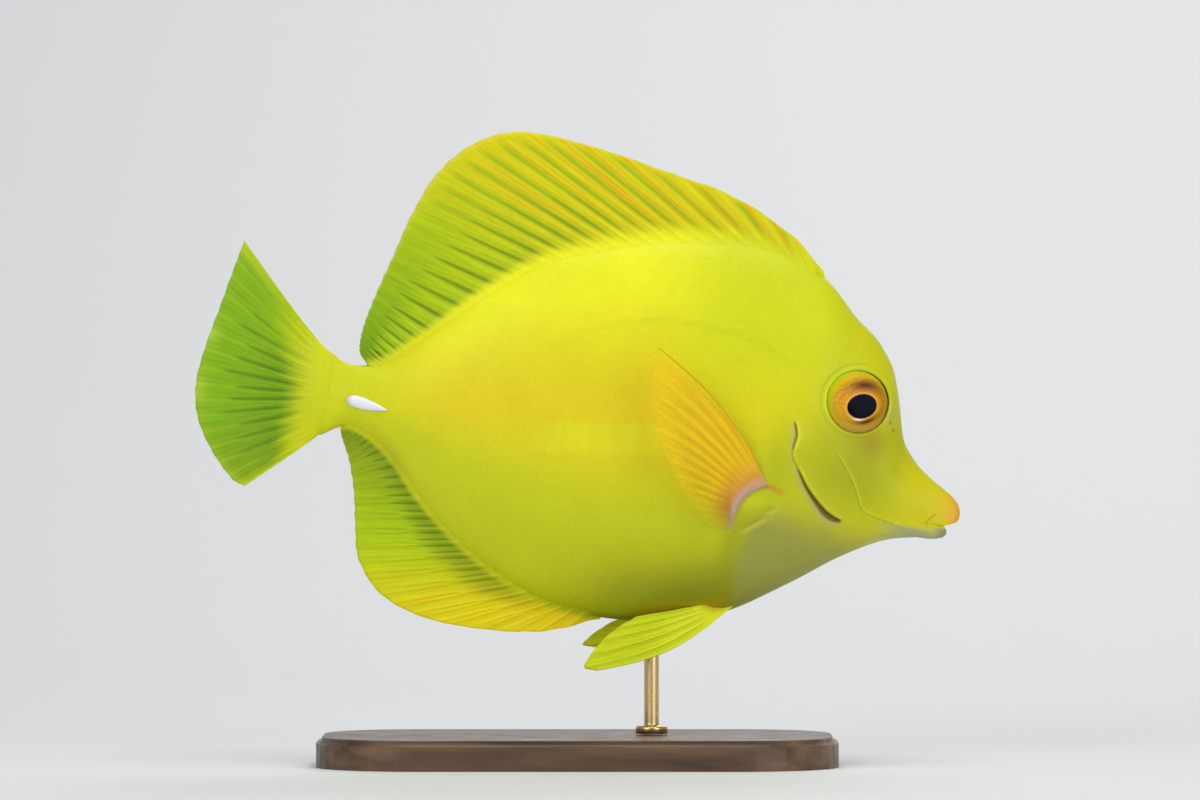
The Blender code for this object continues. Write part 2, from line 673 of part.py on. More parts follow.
def pelvic_fin(name, side):
    along = [smooth_curve([(i / (len(PELVIC_TIPS) - 1), t[k]) for i, t in enumerate(PELVIC_TIPS)])
             for k in range(3)]

    def roots(u):
        s = mix(PELVIC_FRONT, PELVIC_REAR, u)
        y = PELVIC_ROOT_Y + PELVIC_ROOT_SPREAD * u
        return s, side * y, belly_height(s, y - GAP)

    def tips(u):
        s, z = along[0](u), along[1](u)
        raised = LEFT_PELVIC_RAISE * (1 - LEFT_PELVIC_REST * u) if side > 0 else 0.0
        hinge_s, hinge_z = PELVIC_FRONT, belly(PELVIC_FRONT)
        ds, dz = s - hinge_s, z - hinge_z
        s = hinge_s + ds * math.cos(raised) - dz * math.sin(raised)
        z = hinge_z + ds * math.sin(raised) + dz * math.cos(raised)
        shift = LEFT_PELVIC_SHIFT if side > 0 else 0.0
        return s + shift, side * along[2](u), z

    return fanned_fin(name, side, roots, tips, PELVIC_RAYS, PELVIC_ROWS, PELVIC_BOW,
                      PELVIC_SWEEP, PELVIC_ROOT_HALF, settle=Vector((0.0, 0.0, -1.0)))


def rounded_plate(name, length, width, thick, corner, bevel):
    """The stand's base: a plate with round corners and an eased top edge."""
    shape = bmesh.new()
    steps = 10
    outline = []
    for quarter, (cx, cy) in enumerate([(1, 1), (-1, 1), (-1, -1), (1, -1)]):
        for i in range(steps + 1):
            turn = math.pi / 2 * (quarter + i / steps)
            x = cx * (length / 2 - corner) + corner * math.cos(turn)
            y = cy * (width / 2 - corner) + corner * math.sin(turn)
            outline.append(shape.verts.new(Vector((x, y, 0.0)) * MM))
    bottom = shape.faces.new(outline)
    pulled = bmesh.ops.extrude_face_region(shape, geom=[bottom])
    tops = [v for v in pulled["geom"] if isinstance(v, bmesh.types.BMVert)]
    bmesh.ops.translate(shape, verts=tops, vec=Vector((0, 0, thick * MM)))
    rim = [e for e in shape.edges if all(v in tops for v in e.verts)]
    bmesh.ops.bevel(shape, geom=rim, offset=bevel * MM, segments=3, affect="EDGES")
    bmesh.ops.recalc_face_normals(shape, faces=shape.faces)
    mesh = bpy.data.meshes.new(name)
    shape.to_mesh(mesh)
    shape.free()
    return mesh


def in_model(point):
    """A point of the fish's own frame, in the model's frame, in millimetres."""
    s, y, z = point
    turned = Matrix.Rotation(PITCH, 3, "Y") @ Vector((-s, y, z))
    return turned + Vector((SNOUT_X, 0.0, SNOUT_Z))


def rod_mesh(name):
    """A round rod with a collar on the base, its top cut to the slope of the belly."""
    foot = in_model((ROD_S, 0.0, belly(ROD_S)))
    fore = in_model((ROD_S - 2.0, 0.0, belly(ROD_S - 2.0)))
    aft = in_model((ROD_S + 2.0, 0.0, belly(ROD_S + 2.0)))
    slope = (fore.z - aft.z) / (fore.x - aft.x)
    rise = math.hypot(1.0, slope)
    floor = BASE_THICK + GAP
    levels = [(COLLAR_RADIUS, floor), (COLLAR_RADIUS, floor + COLLAR_THICK - 0.5),
              (COLLAR_RADIUS - 0.5, floor + COLLAR_THICK), (ROD_RADIUS, floor + COLLAR_THICK)]
    points = []
    for radius, z in levels + [(ROD_RADIUS, None)]:
        for i in range(ROD_SIDES):
            turn = 2 * math.pi * i / ROD_SIDES
            x, y = radius * math.cos(turn), radius * math.sin(turn)
            top = foot.z + slope * x - GAP * rise - 0.02
            points.append(Vector((foot.x + x, y, top if z is None else z)) * MM)
    top = range(len(points) - 1, len(points) - 1 - ROD_SIDES, -1)
    faces = [tuple(range(ROD_SIDES)), tuple(top)]
    for k in range(len(levels)):
        for i in range(ROD_SIDES):
            j = (i + 1) % ROD_SIDES
            a, b = k * ROD_SIDES, (k + 1) * ROD_SIDES
            faces.append((a + i, a + j, b + j, b + i))
    mesh = bpy.data.meshes.new(name)
    mesh.from_pydata(points, [], faces)
    shape = bmesh.new()
    shape.from_mesh(mesh)
    bmesh.ops.recalc_face_normals(shape, faces=shape.faces)
    shape.to_mesh(mesh)
    shape.free()
    return mesh


def material(name, colour, roughness, metallic=0.0):
    made = bpy.data.materials.new(name)
    made.use_nodes = True
    shader = made.node_tree.nodes["Principled BSDF"]
    shader.inputs["Base Color"].default_value = (*colour, 1.0)
    shader.inputs["Roughness"].default_value = roughness
    shader.inputs["Metallic"].default_value = metallic
    return made


def clear_scene():
    for obj in list(bpy.data.objects):
        bpy.data.objects.remove(obj, do_unlink=True)


def make_head(skin, pose):
    rings = body_rings(0.0, GILL, HEAD_STEPS, HEAD_CROWD, 0.0, -GAP / 2, head_relief)
    head = new_object("head", lofted_mesh("head", rings), skin, pose)
    jaw = new_object("lower_jaw", lofted_mesh("lower_jaw", rings), skin, pose)
    carve(jaw, helper("jaw_block", prism("jaw_block", JAW, BLOCK_HALF), pose), "INTERSECT")
    carve(head, helper("jaw_room", prism("jaw_room", JAW_ROOM, BLOCK_HALF), pose))
    for side, word in ((-1, "right"), (1, "left")):
        rim = torus_mesh(f"orbit_{word}", RIM_RADIUS, RIM_HALF, RIM_SIDES, RIM_TURNS)
        rim = helper(f"orbit_{word}", rim, pose)
        aim_eye(rim, side, 0.0)
        carve(head, rim, "UNION")
        back_y = EYE_SINK - EYE_DEPTH - GAP
        socket = turned_eye(f"socket_{word}", EYE_RADIUS + GAP, EYE_BULGE + GAP, back_y)
        cutter = helper(f"socket_{word}", socket, pose)
        aim_eye(cutter, side, EYE_SINK)
        carve(head, cutter)
        for number, (s, z, radius) in enumerate(NOSTRILS):
            mesh = bpy.data.meshes.new(f"nostril_{word}_{number}")
            shape = bmesh.new()
            bmesh.ops.create_uvsphere(shape, u_segments=8, v_segments=6, radius=radius * MM)
            shape.to_mesh(mesh)
            shape.free()
            pit = helper(mesh.name, mesh, pose)
            pit.location = place((s, side * body_half(s, z), z))
            carve(head, pit)
    return head


def make_eyes(eye, pose):
    for side, word in ((-1, "right"), (1, "left")):
        ball = turned_eye(f"eye_{word}", EYE_RADIUS, EYE_BULGE, EYE_SINK - EYE_DEPTH)
        aim_eye(new_object(f"eye_{word}", ball, eye, pose), side, EYE_SINK)


def make_trunk(skin, pose):
    rings = body_rings(GILL, STEM, TRUNK_STEPS, TRUNK_CROWD, GAP / 2, -GAP / 2, trunk_relief)
    new_object("torso", lofted_mesh("torso", rings), skin, pose)


def make_stem(skin, bone, pose):
    rings = body_rings(STEM, TAIL, STEM_STEPS, 1.0, GAP / 2, 0.0, no_relief)
    stem = new_object("tail_stem", lofted_mesh("tail_stem", rings), skin, pose)
    for side, word in ((-1, "right"), (1, "left")):
        groove = helper(f"groove_{word}", tang_mesh(f"groove_{word}", side, GAP), pose)
        carve(stem, groove)
        name = f"tail_spine_{word}"
        new_object(name, tang_mesh(name, side, 0.0), bone, pose)


def make_fins(fin, pose):
    dorsal = upright_fin("dorsal_fin", DORSAL_GUIDES, back, 1, DORSAL_SPINES, DORSAL_RAYS)
    new_object("dorsal_fin", dorsal, fin, pose)
    anal = upright_fin("anal_fin", ANAL_GUIDES, belly, -1, ANAL_SPINES, ANAL_RAYS)
    new_object("anal_fin", anal, fin, pose)
    new_object("caudal_fin", caudal_fin("caudal_fin"), fin, pose)
    for side, word in ((-1, "right"), (1, "left")):
        name = f"pectoral_fin_{word}"
        new_object(name, pectoral_fin(name, side), fin, pose)
        name = f"pelvic_fin_{word}"
        new_object(name, pelvic_fin(name, side), fin, pose)


def make_stand(wood, brass):
    base = rounded_plate("stand_base", BASE_LENGTH, BASE_WIDTH, BASE_THICK, BASE_CORNER, BASE_BEVEL)
    new_object("stand_base", base, wood, None)
    new_object("stand_rod", rod_mesh("stand_rod"), brass, None)


def main():
    clear_scene()
    pose = bpy.data.objects.new("fish_pose", None)
    bpy.context.scene.collection.objects.link(pose)
    pose.location = Vector((SNOUT_X, 0.0, SNOUT_Z)) * MM
    pose.rotation_euler = (0.0, PITCH, 0.0)
    skin = material("skin", (0.83, 0.76, 0.02), 0.45)
    fin = material("fin", (0.66, 0.72, 0.03), 0.5)
    eye = material("eye", (0.62, 0.33, 0.04), 0.1)
    bone = material("bone", (0.85, 0.87, 0.93), 0.35)
    wood = material("wood", (0.13, 0.07, 0.04), 0.4)
    brass = material("brass", (0.72, 0.53, 0.25), 0.3, 1.0)
    make_head(skin, pose)
    make_eyes(eye, pose)
    make_trunk(skin, pose)
    make_stem(skin, bone, pose)
    make_fins(fin, pose)
    make_stand(wood, brass)


main()
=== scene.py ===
# %% [markdown]
# # A yellow tang on its stand
# This lesson dresses the solid model of a small reef fish. The solids came from a CAD program, so
# sizes and places are settled, and the first step loads them as a fixed frame.

# %% Load the frame
import math

import bmesh
import bpy
import numpy as np
from mathutils import Matrix, Vector


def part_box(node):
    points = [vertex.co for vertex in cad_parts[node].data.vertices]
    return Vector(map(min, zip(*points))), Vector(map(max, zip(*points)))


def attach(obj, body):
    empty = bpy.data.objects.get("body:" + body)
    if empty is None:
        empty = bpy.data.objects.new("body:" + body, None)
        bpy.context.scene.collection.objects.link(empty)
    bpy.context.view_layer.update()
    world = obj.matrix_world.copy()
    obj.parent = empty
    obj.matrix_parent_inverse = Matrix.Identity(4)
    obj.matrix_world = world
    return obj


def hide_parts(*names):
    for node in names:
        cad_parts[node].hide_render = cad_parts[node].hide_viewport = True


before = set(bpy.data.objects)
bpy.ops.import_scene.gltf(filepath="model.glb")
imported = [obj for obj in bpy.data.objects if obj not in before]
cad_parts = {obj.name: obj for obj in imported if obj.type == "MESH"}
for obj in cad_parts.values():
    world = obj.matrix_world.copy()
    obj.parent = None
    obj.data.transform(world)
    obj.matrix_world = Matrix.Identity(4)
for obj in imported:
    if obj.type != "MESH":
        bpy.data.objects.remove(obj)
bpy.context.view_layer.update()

# %% [markdown]
# ## Where things are
# The fish is described in its own frame, in millimetres: s runs back from the tip of the snout,
# y to the fish's left and z up. One function tips it head down and moves it onto the stand. A
# parent object could do the same, but then each surface pattern would need a second set of
# coordinates. Here every piece also keeps its own place as an attribute for the patterns.

# %% Frames of reference
MM = 0.001
PITCH = math.radians(11.0)
SNOUT_X, SNOUT_Z = 76.5, 50.4


def in_model(points):
    """Points (s, y, z) of the fish, in metres in the model's frame."""
    points = np.asarray(points, float)
    x, y, z = -points[:, 0], points[:, 1], points[:, 2]
    turned_x = x * math.cos(PITCH) + z * math.sin(PITCH) + SNOUT_X
    turned_z = z * math.cos(PITCH) - x * math.sin(PITCH) + SNOUT_Z
    return np.stack([turned_x, y, turned_z], axis=1) * MM


def in_fish(points):
    """The way back: points of the model's frame, in metres, as (s, y, z) in millimetres."""
    x, y, z = (np.asarray(points, float) / MM).T
    x, z = x - SNOUT_X, z - SNOUT_Z
    return np.stack([z * math.sin(PITCH) - x * math.cos(PITCH), y,
                     x * math.sin(PITCH) + z * math.cos(PITCH)], axis=1)


print("snout tip at", in_model([(0.0, 0.0, 0.0)])[0])

# %% [markdown]
# ## Curves and soft steps
# A fish has no straight edges. Its outline is drawn with a few points and a curve that passes
# smoothly through them, which is easier to change than a long list. Soft steps and humps then
# shape folds and markings. They work on whole arrays, so a hundred thousand points take no time.

# %% Curve helpers


def smooth_curve(points):
    """A function that passes smoothly through (x, y) points, and stays level past the ends."""
    xs, ys = np.array(points, float).T
    steps = np.diff(xs)
    grades = np.diff(ys) / steps
    inner = (grades[:-1] * steps[1:] + grades[1:] * steps[:-1]) / (steps[:-1] + steps[1:])
    slopes = np.concatenate([grades[:1], inner, grades[-1:]])

    def value(x):
        x = np.clip(x, xs[0], xs[-1])
        i = np.clip(np.searchsorted(xs, x, side="right") - 1, 0, len(steps) - 1)
        t = (x - xs[i]) / steps[i]
        t2, t3 = t * t, t * t * t
        start = (2 * t3 - 3 * t2 + 1) * ys[i] + (t3 - 2 * t2 + t) * steps[i] * slopes[i]
        return start + (3 * t2 - 2 * t3) * ys[i + 1] + (t3 - t2) * steps[i] * slopes[i + 1]

    return value


def mix(a, b, t):
    return a + (b - a) * t


def ease(low, high, x):
    """0 below low, 1 above high, smooth between."""
    t = np.clip((x - low) / (high - low), 0.0, 1.0)
    return t * t * (3 - 2 * t)


def hump(x, middle, width):
    return np.exp(-(((x - middle) / width) ** 2))


def toward(angle, middle, width):
    """A hump round a circle, 1 in the middle direction."""
    return np.exp((np.cos(angle - middle) - 1) * 2 / width ** 2)


def window(x, a, b, c, d):
    """0 up to a, 1 between b and c, 0 again from d."""
    return ease(a, b, x) * (1 - ease(c, d, x))


def smooth_path(points, steps=48):
    """Points spread along a curve through (s, z) points."""
    share = np.linspace(0, len(points) - 1, steps)
    return np.stack([smooth_curve([(i, p[k]) for i, p in enumerate(points)])(share) for k in (0, 1)], 1)


def near_path(s, z, path):
    """Distance from a path, the share along it, and the side: -1 to its right, 1 to its left."""
    far = np.full(np.shape(s), 1e9)
    share, side = np.zeros(np.shape(s)), np.ones(np.shape(s))
    for i in range(len(path) - 1):
        run = path[i + 1] - path[i]
        t = np.clip(((s - path[i][0]) * run[0] + (z - path[i][1]) * run[1]) / (run @ run), 0, 1)
        ds, dz = s - path[i][0] - t * run[0], z - path[i][1] - t * run[1]
        gap = np.hypot(ds, dz)
        closer = gap < far
        far = np.where(closer, gap, far)
        share = np.where(closer, (i + t) / (len(path) - 1), share)
        side = np.where(closer, np.sign(run[0] * dz - run[1] * ds), side)
    return far, share, side


print("a soft step half way:", float(ease(0.0, 1.0, 0.5)))

# %% [markdown]
# ## Nodes in one line
# A material is a net of small nodes, and each takes four lines when it is made, set and linked by
# hand. One helper does all of that, so that a material reads like the sum it works out. What is
# the same all over a surface is set on the shader's own socket.

# %% Node helpers


def add_node(tree, kind, values=None, **settings):
    """A node with its settings; values are constants, or sockets to link, by input name or number."""
    node = tree.nodes.new(kind)
    for key, setting in settings.items():
        setattr(node, key, setting)
    for key, value in (values or {}).items():
        if isinstance(value, bpy.types.NodeSocket):
            tree.links.new(value, node.inputs[key])
        else:
            node.inputs[key].default_value = value
    return node


def maths(tree, operation, *values):
    return add_node(tree, "ShaderNodeMath", dict(enumerate(values)), operation=operation).outputs[0]


def scaled(tree, vector, factor):
    return add_node(tree, "ShaderNodeVectorMath", {0: vector, "Scale": factor}, operation="SCALE").outputs[0]


def new_material(name, colour, **constants):
    """A material with its tree and shader, whose constants are set on the shader's own sockets."""
    made = bpy.data.materials.new(name)
    made.use_nodes = True
    made.diffuse_color = (*colour, 1.0)
    shader = made.node_tree.nodes["Principled BSDF"]
    shader.inputs["Base Color"].default_value = (*colour, 1.0)
    for key, value in constants.items():
        shader.inputs[key.replace("_", " ")].default_value = value
    return made, made.node_tree, shader


def link_object(name, data):
    """A new object of the scene that shows the given mesh, lamp or camera."""
    made = bpy.data.objects.new(name, data)
    bpy.context.scene.collection.objects.link(made)
    return made


print("materials before the first one is made:", len(bpy.data.materials))

# %% [markdown]
# ## Camera, floor and light
# The fish was photographed square from its right side with a long lens, so the camera stands
# 1.5 m off on that side, level with the fish, and one millimetre of it covers five pixels. The
# floor curves up into the backdrop, as a photographer's paper roll does, so no horizon shows. The
# paper is see-through from its back, so that the fish can be looked at from behind as well. Big
# soft lamps do what the water does: they light the back most and leave no hard shadow.

# %% Camera
FRAME_WIDTH, CAMERA_AWAY, SENSOR = 240.0, 1500.0, 36.0
AIM_X, AIM_Z = 4.5, 73.0
lens = bpy.data.cameras.new("camera")
lens.sensor_width = SENSOR
lens.lens = SENSOR * CAMERA_AWAY / FRAME_WIDTH
camera = link_object("camera", lens)
camera.location = Vector((AIM_X, -CAMERA_AWAY, AIM_Z)) * MM
camera.rotation_euler = (math.pi / 2, 0.0, 0.0)
bpy.context.scene.camera = camera
bpy.context.scene.view_settings.view_transform = "Standard"
print("lens of", round(lens.lens, 1), "mm")

# %% Floor and backdrop
FLOOR_HALF, FLOOR_FRONT, SWEEP_START, SWEEP_RADIUS, WALL_TOP = 1.8, -1.8, 0.40, 0.55, 2.2


def paper_roll():
    bend = np.linspace(0, math.pi / 2, 24)[1:]
    line = [(FLOOR_FRONT, 0.0), (SWEEP_START, 0.0)]
    line += [(SWEEP_START + SWEEP_RADIUS * math.sin(a), SWEEP_RADIUS * (1 - math.cos(a))) for a in bend]
    line.append((line[-1][0], WALL_TOP))
    points = [(x, y, z) for y, z in line for x in (-FLOOR_HALF, FLOOR_HALF)]
    faces = [(2 * i, 2 * i + 1, 2 * i + 3, 2 * i + 2) for i in range(len(line) - 1)]
    mesh = bpy.data.meshes.new("backdrop")
    mesh.from_pydata(points, [], faces)
    mesh.polygons.foreach_set("use_smooth", [True] * len(faces))
    paper, tree, shader = new_material("paper", (0.80, 0.81, 0.82), Roughness=0.9)
    behind = add_node(tree, "ShaderNodeNewGeometry").outputs["Backfacing"]
    tree.links.new(maths(tree, "SUBTRACT", 1.0, behind), shader.inputs["Alpha"])
    mesh.materials.append(paper)
    roll = link_object("backdrop", mesh)
    return roll


print("backdrop of", len(paper_roll().data.polygons), "faces")

# %% Lamps
LAMPS = [
    # name, place in metres, size, watts, colour
    ("top", (0.10, -0.25, 0.95), 0.8, 4.0, (1.0, 0.99, 0.96)),
    ("front_left", (-0.60, -0.85, 0.42), 0.7, 3.4, (1.0, 0.99, 0.96)),
    ("front_right", (0.70, -0.85, 0.24), 0.7, 3.0, (0.98, 0.99, 1.0)),
    ("back", (0.20, 0.80, 0.70), 0.7, 3.0, (1.0, 0.99, 0.97)),
]
LAMP_AIM = Vector((0.0, 0.0, 0.07))
GLOW_SEEN, GLOW_CAST = 0.42, 0.3  # the world's brightness: what the camera sees on top, what it casts


def add_lamp(name, place, size, watts, colour):
    light = bpy.data.lights.new(name, "AREA")
    light.shape = "DISK"
    light.size = size
    light.energy = watts
    light.color = colour
    lamp = link_object(name, light)
    lamp.location = place
    lamp.rotation_euler = (LAMP_AIM - lamp.location).to_track_quat("-Z", "Y").to_euler()
    lamp.visible_camera = False


def studio_world():
    """A pale blue world, brighter where the camera looks at it than in the light it casts."""
    world = bpy.data.worlds.new("studio")
    world.use_nodes = True
    tree = world.node_tree
    sky = tree.nodes["Background"]
    sky.inputs["Color"].default_value = (0.9, 0.94, 1.0, 1.0)
    seen = add_node(tree, "ShaderNodeLightPath").outputs["Is Camera Ray"]
    tree.links.new(maths(tree, "MULTIPLY_ADD", seen, GLOW_SEEN, GLOW_CAST), sky.inputs["Strength"])
    return world


for lamp in LAMPS:
    add_lamp(*lamp)
bpy.context.scene.world = studio_world()
print(len(LAMPS), "lamps")

# %% [markdown]
# ## Shader groups
# Four effects come back in several materials, so each is a node group, made once and given its
# own values where it is used. Living tint lets a colour wander a little, as on a real animal. Fine
# scales are the tiny rough plates of the skin. Wet film varies the gloss. Ray grain draws the
# hair-fine lines that run along the rays of a fin. Groups put out only colours and values, and
# each material keeps its own shader.

# %% Group helpers


def new_group(name, inputs, outputs):
    group = bpy.data.node_groups.new(name, "ShaderNodeTree")
    for label, kind, value in inputs:
        socket = group.interface.new_socket(label, in_out="INPUT", socket_type=kind)
        if value is not None:
            socket.default_value = value
    for label, kind in outputs:
        group.interface.new_socket(label, in_out="OUTPUT", socket_type=kind)
    return group, group.nodes.new("NodeGroupInput"), group.nodes.new("NodeGroupOutput")


FLOAT, VECTOR, COLOUR = "NodeSocketFloat", "NodeSocketVector", "NodeSocketColor"

# %% Living tint, wet film, fine scales and ray grain


def nearer(tree, start):
    """The place on the fish, counted in the group's own size."""
    return scaled(tree, start.outputs["Place"], maths(tree, "DIVIDE", 1.0, start.outputs["Size"]))


def make_living_tint():
    """A colour made a little lighter and darker in patches of a given size in millimetres."""
    tree, start, end = new_group(
        "living_tint",
        [("Colour", COLOUR, None), ("Place", VECTOR, None), ("Size", FLOAT, 5.0), ("Amount", FLOAT, 0.1)],
        [("Colour", COLOUR)])
    near = nearer(tree, start)
    noise = add_node(tree, "ShaderNodeTexNoise", {"Vector": near, "Scale": 1.0, "Detail": 3.0})
    centred = maths(tree, "SUBTRACT", noise.outputs["Fac"], 0.5)
    change = maths(tree, "MULTIPLY_ADD", centred, maths(tree, "MULTIPLY", start.outputs["Amount"], 2.0), 1.0)
    tree.links.new(scaled(tree, start.outputs["Colour"], change), end.inputs["Colour"])
    return tree


def make_wet_film():
    """Roughness that wanders between two values, as where water stands on skin."""
    tree, start, end = new_group(
        "wet_film",
        [("Place", VECTOR, None), ("Size", FLOAT, 4.0), ("Low", FLOAT, 0.3), ("High", FLOAT, 0.5)],
        [("Roughness", FLOAT)])
    near = nearer(tree, start)
    noise = add_node(tree, "ShaderNodeTexNoise", {"Vector": near, "Scale": 1.0, "Detail": 2.0})
    spread = add_node(tree, "ShaderNodeMapRange", {
        "Value": noise.outputs["Fac"], "From Min": 0.3, "From Max": 0.7,
        "To Min": start.outputs["Low"], "To Max": start.outputs["High"]})
    tree.links.new(spread.outputs["Result"], end.inputs["Roughness"])
    return tree


def make_fine_scales():
    """Small rough plates: a height, and a mask of the narrow gaps between them."""
    tree, start, end = new_group(
        "fine_scales", [("Place", VECTOR, None), ("Size", FLOAT, 0.55)],
        [("Height", FLOAT), ("Gap", FLOAT)])
    near = nearer(tree, start)
    cells = add_node(tree, "ShaderNodeTexVoronoi", {"Vector": near, "Scale": 1.0}, feature="F1")
    edges = add_node(tree, "ShaderNodeTexVoronoi", {"Vector": near, "Scale": 1.0},
                     feature="DISTANCE_TO_EDGE")
    dome = maths(tree, "SUBTRACT", 1.0, cells.outputs["Distance"])
    tree.links.new(dome, end.inputs["Height"])
    gap = add_node(tree, "ShaderNodeMapRange", {
        "Value": edges.outputs["Distance"], "From Min": 0.02, "From Max": 0.2, "To Min": 1.0, "To Max": 0.0})
    tree.links.new(gap.outputs["Result"], end.inputs["Gap"])
    return tree


def make_ray_grain():
    """Fine lines along a fin's rays; Along holds (number of the ray, millimetres from its root)."""
    tree, start, end = new_group(
        "ray_grain", [("Along", VECTOR, None), ("Lines", FLOAT, 9.0), ("Stretch", FLOAT, 0.1)],
        [("Value", FLOAT)])
    stretch = add_node(tree, "ShaderNodeCombineXYZ", {"X": start.outputs["Lines"],
                                                      "Y": start.outputs["Stretch"], "Z": 1.0})
    along = add_node(tree, "ShaderNodeVectorMath", {0: start.outputs["Along"], 1: stretch.outputs[0]},
                     operation="MULTIPLY")
    noise = add_node(tree, "ShaderNodeTexNoise", {"Vector": along.outputs[0], "Scale": 1.0, "Detail": 2.0})
    tree.links.new(noise.outputs["Fac"], end.inputs["Value"])
    return tree


GROUPS = {}
for make_group in (make_living_tint, make_wet_film, make_fine_scales, make_ray_grain):
    group = make_group()
    GROUPS[group.name] = group
print("shader groups:", sorted(GROUPS))

# %% [markdown]
# ## The materials of a living fish
# The colours themselves are painted on the points of each mesh by functions, which is how a model
# maker would use an airbrush: broad soft tones first, then lines. A material then takes that paint
# from its attribute, lets it wander, darkens the gaps between the scales and adds a bump. Light
# that enters thin skin comes out beside where it went in, so the shader has some subsurface
# scattering, and a thin clear coat makes it look wet.

# %% Parts of a material
FINE_STREAK = (0.53, 0.61)  # where the fine grain starts to be a streak, and where it is one
STREAK_ORANGE = (0.82, 0.40, 0.004)


def use_group(tree, name, values):
    return add_node(tree, "ShaderNodeGroup", values, node_tree=GROUPS[name]).outputs


def attribute(tree, name, output="Vector"):
    return add_node(tree, "ShaderNodeAttribute", attribute_name=name).outputs[output]


def tinted(tree, colour, place, size, amount):
    return use_group(tree, "living_tint", {"Colour": colour, "Place": place, "Size": size,
                                           "Amount": amount})["Colour"]


def lay_film(tree, shader, place, size, low, high):
    film = use_group(tree, "wet_film", {"Place": place, "Size": size, "Low": low, "High": high})
    tree.links.new(film["Roughness"], shader.inputs["Roughness"])


def bump(tree, shader, height, millimetres):
    node = add_node(tree, "ShaderNodeBump", {"Height": height, "Distance": millimetres * MM, "Strength": 1.0})
    tree.links.new(node.outputs["Normal"], shader.inputs["Normal"])


def ray_lines(tree, scaly, grain, paint, light, height):
    """Paint, light and height with the hair-fine lines of a fin's rays, which fade where it is scaly."""
    along = attribute(tree, "along")
    lines = use_group(tree, "ray_grain", {"Along": along, "Lines": 9.0})["Value"]
    thin = maths(tree, "SUBTRACT", 1.0, scaly)
    lines = maths(tree, "MULTIPLY", maths(tree, "SUBTRACT", lines, 0.5), thin)
    light = maths(tree, "MULTIPLY_ADD", lines, grain, light)
    height = maths(tree, "ADD", height, maths(tree, "MULTIPLY", lines, 1.5))
    fine = use_group(tree, "ray_grain", {"Along": along, "Lines": 5.0, "Stretch": 0.025})["Value"]
    streak = add_node(tree, "ShaderNodeMapRange", {"Value": fine, "From Min": FINE_STREAK[0],
                                                   "From Max": FINE_STREAK[1]})
    amount = maths(tree, "MULTIPLY", streak.outputs["Result"], attribute(tree, "streak", "Fac"))
    paint = add_node(tree, "ShaderNodeMixRGB", {"Fac": amount, "Color1": paint,
                                                "Color2": (*STREAK_ORANGE, 1.0)}).outputs["Color"]
    return paint, light, height


# %% Skin and fin materials


def fish_material(name, colour, tint, film, scale_size, scale_depth, gap_dark, grain=0.0, **constants):
    """tint is a list of (patch size, amount); film is the lowest and the highest roughness."""
    made, tree, shader = new_material(name, colour, **constants)
    place = attribute(tree, "place")
    paint = attribute(tree, "paint", "Color")
    for size, amount in tint:
        paint = tinted(tree, paint, place, size, amount)
    scales = use_group(tree, "fine_scales", {"Place": place, "Size": scale_size})
    scaly = attribute(tree, "scaly", "Fac")
    dark = maths(tree, "MULTIPLY", scales["Gap"], maths(tree, "MULTIPLY", scaly, -gap_dark))
    light = maths(tree, "ADD", dark, 1.0)
    height = maths(tree, "MULTIPLY", scales["Height"], scaly)
    if grain:
        paint, light, height = ray_lines(tree, scaly, grain, paint, light, height)
    tree.links.new(scaled(tree, paint, light), shader.inputs["Base Color"])
    lay_film(tree, shader, place, 3.0, *film)
    bump(tree, shader, height, scale_depth)
    return made


def hard_material(name, colour, tint, film, painted=True, **constants):
    """A small hard piece's material: its paint, or one colour that wanders, under a wet film."""
    made, tree, shader = new_material(name, colour, **constants)
    place = attribute(tree, "place")
    paint = attribute(tree, "paint", "Color") if painted else (*colour, 1.0)
    tree.links.new(tinted(tree, paint, place, *tint), shader.inputs["Base Color"])
    lay_film(tree, shader, place, *film)
    return made


SKIN = fish_material(
    "tang_skin", (0.80, 0.72, 0.02), [(9.0, 0.07), (1.4, 0.04)], (0.40, 0.55), 0.5, 0.03, 0.05,
    Subsurface_Weight=0.12, Subsurface_Radius=(1.0, 0.8, 0.15), Subsurface_Scale=0.0012,
    Coat_Weight=0.08, Coat_Roughness=0.25, Specular_IOR_Level=0.25)
FIN = fish_material(
    "tang_fin", (0.62, 0.68, 0.03), [(7.0, 0.06), (1.0, 0.05)], (0.42, 0.58), 0.5, 0.03, 0.05, grain=0.45,
    Subsurface_Weight=0.3, Subsurface_Radius=(1.0, 0.9, 0.1), Subsurface_Scale=0.002,
    Coat_Weight=0.06, Coat_Roughness=0.3, Specular_IOR_Level=0.22)
print("materials:", SKIN.name, FIN.name)

# %% [markdown]
# ## Making a piece
# Every piece is built from points and faces in the fish's frame.

# %% Piece helper
SIDES = ((-1, "right"), (1, "left"))


def screen(*colours):
    """Colours given as on a screen, 0 to 255, as the linear values that shaders use."""
    c = np.array(colours, float) / 255.0
    return np.where(c <= 0.04045, c / 12.92, ((c + 0.055) / 1.055) ** 2.4)


def coats(base, *layers):
    """Coats of paint laid one after the other over an array of colours, each a (colour, mask)."""
    for colour, mask in layers:
        base = base + (colour - base) * np.asarray(mask)[:, None]
    return base


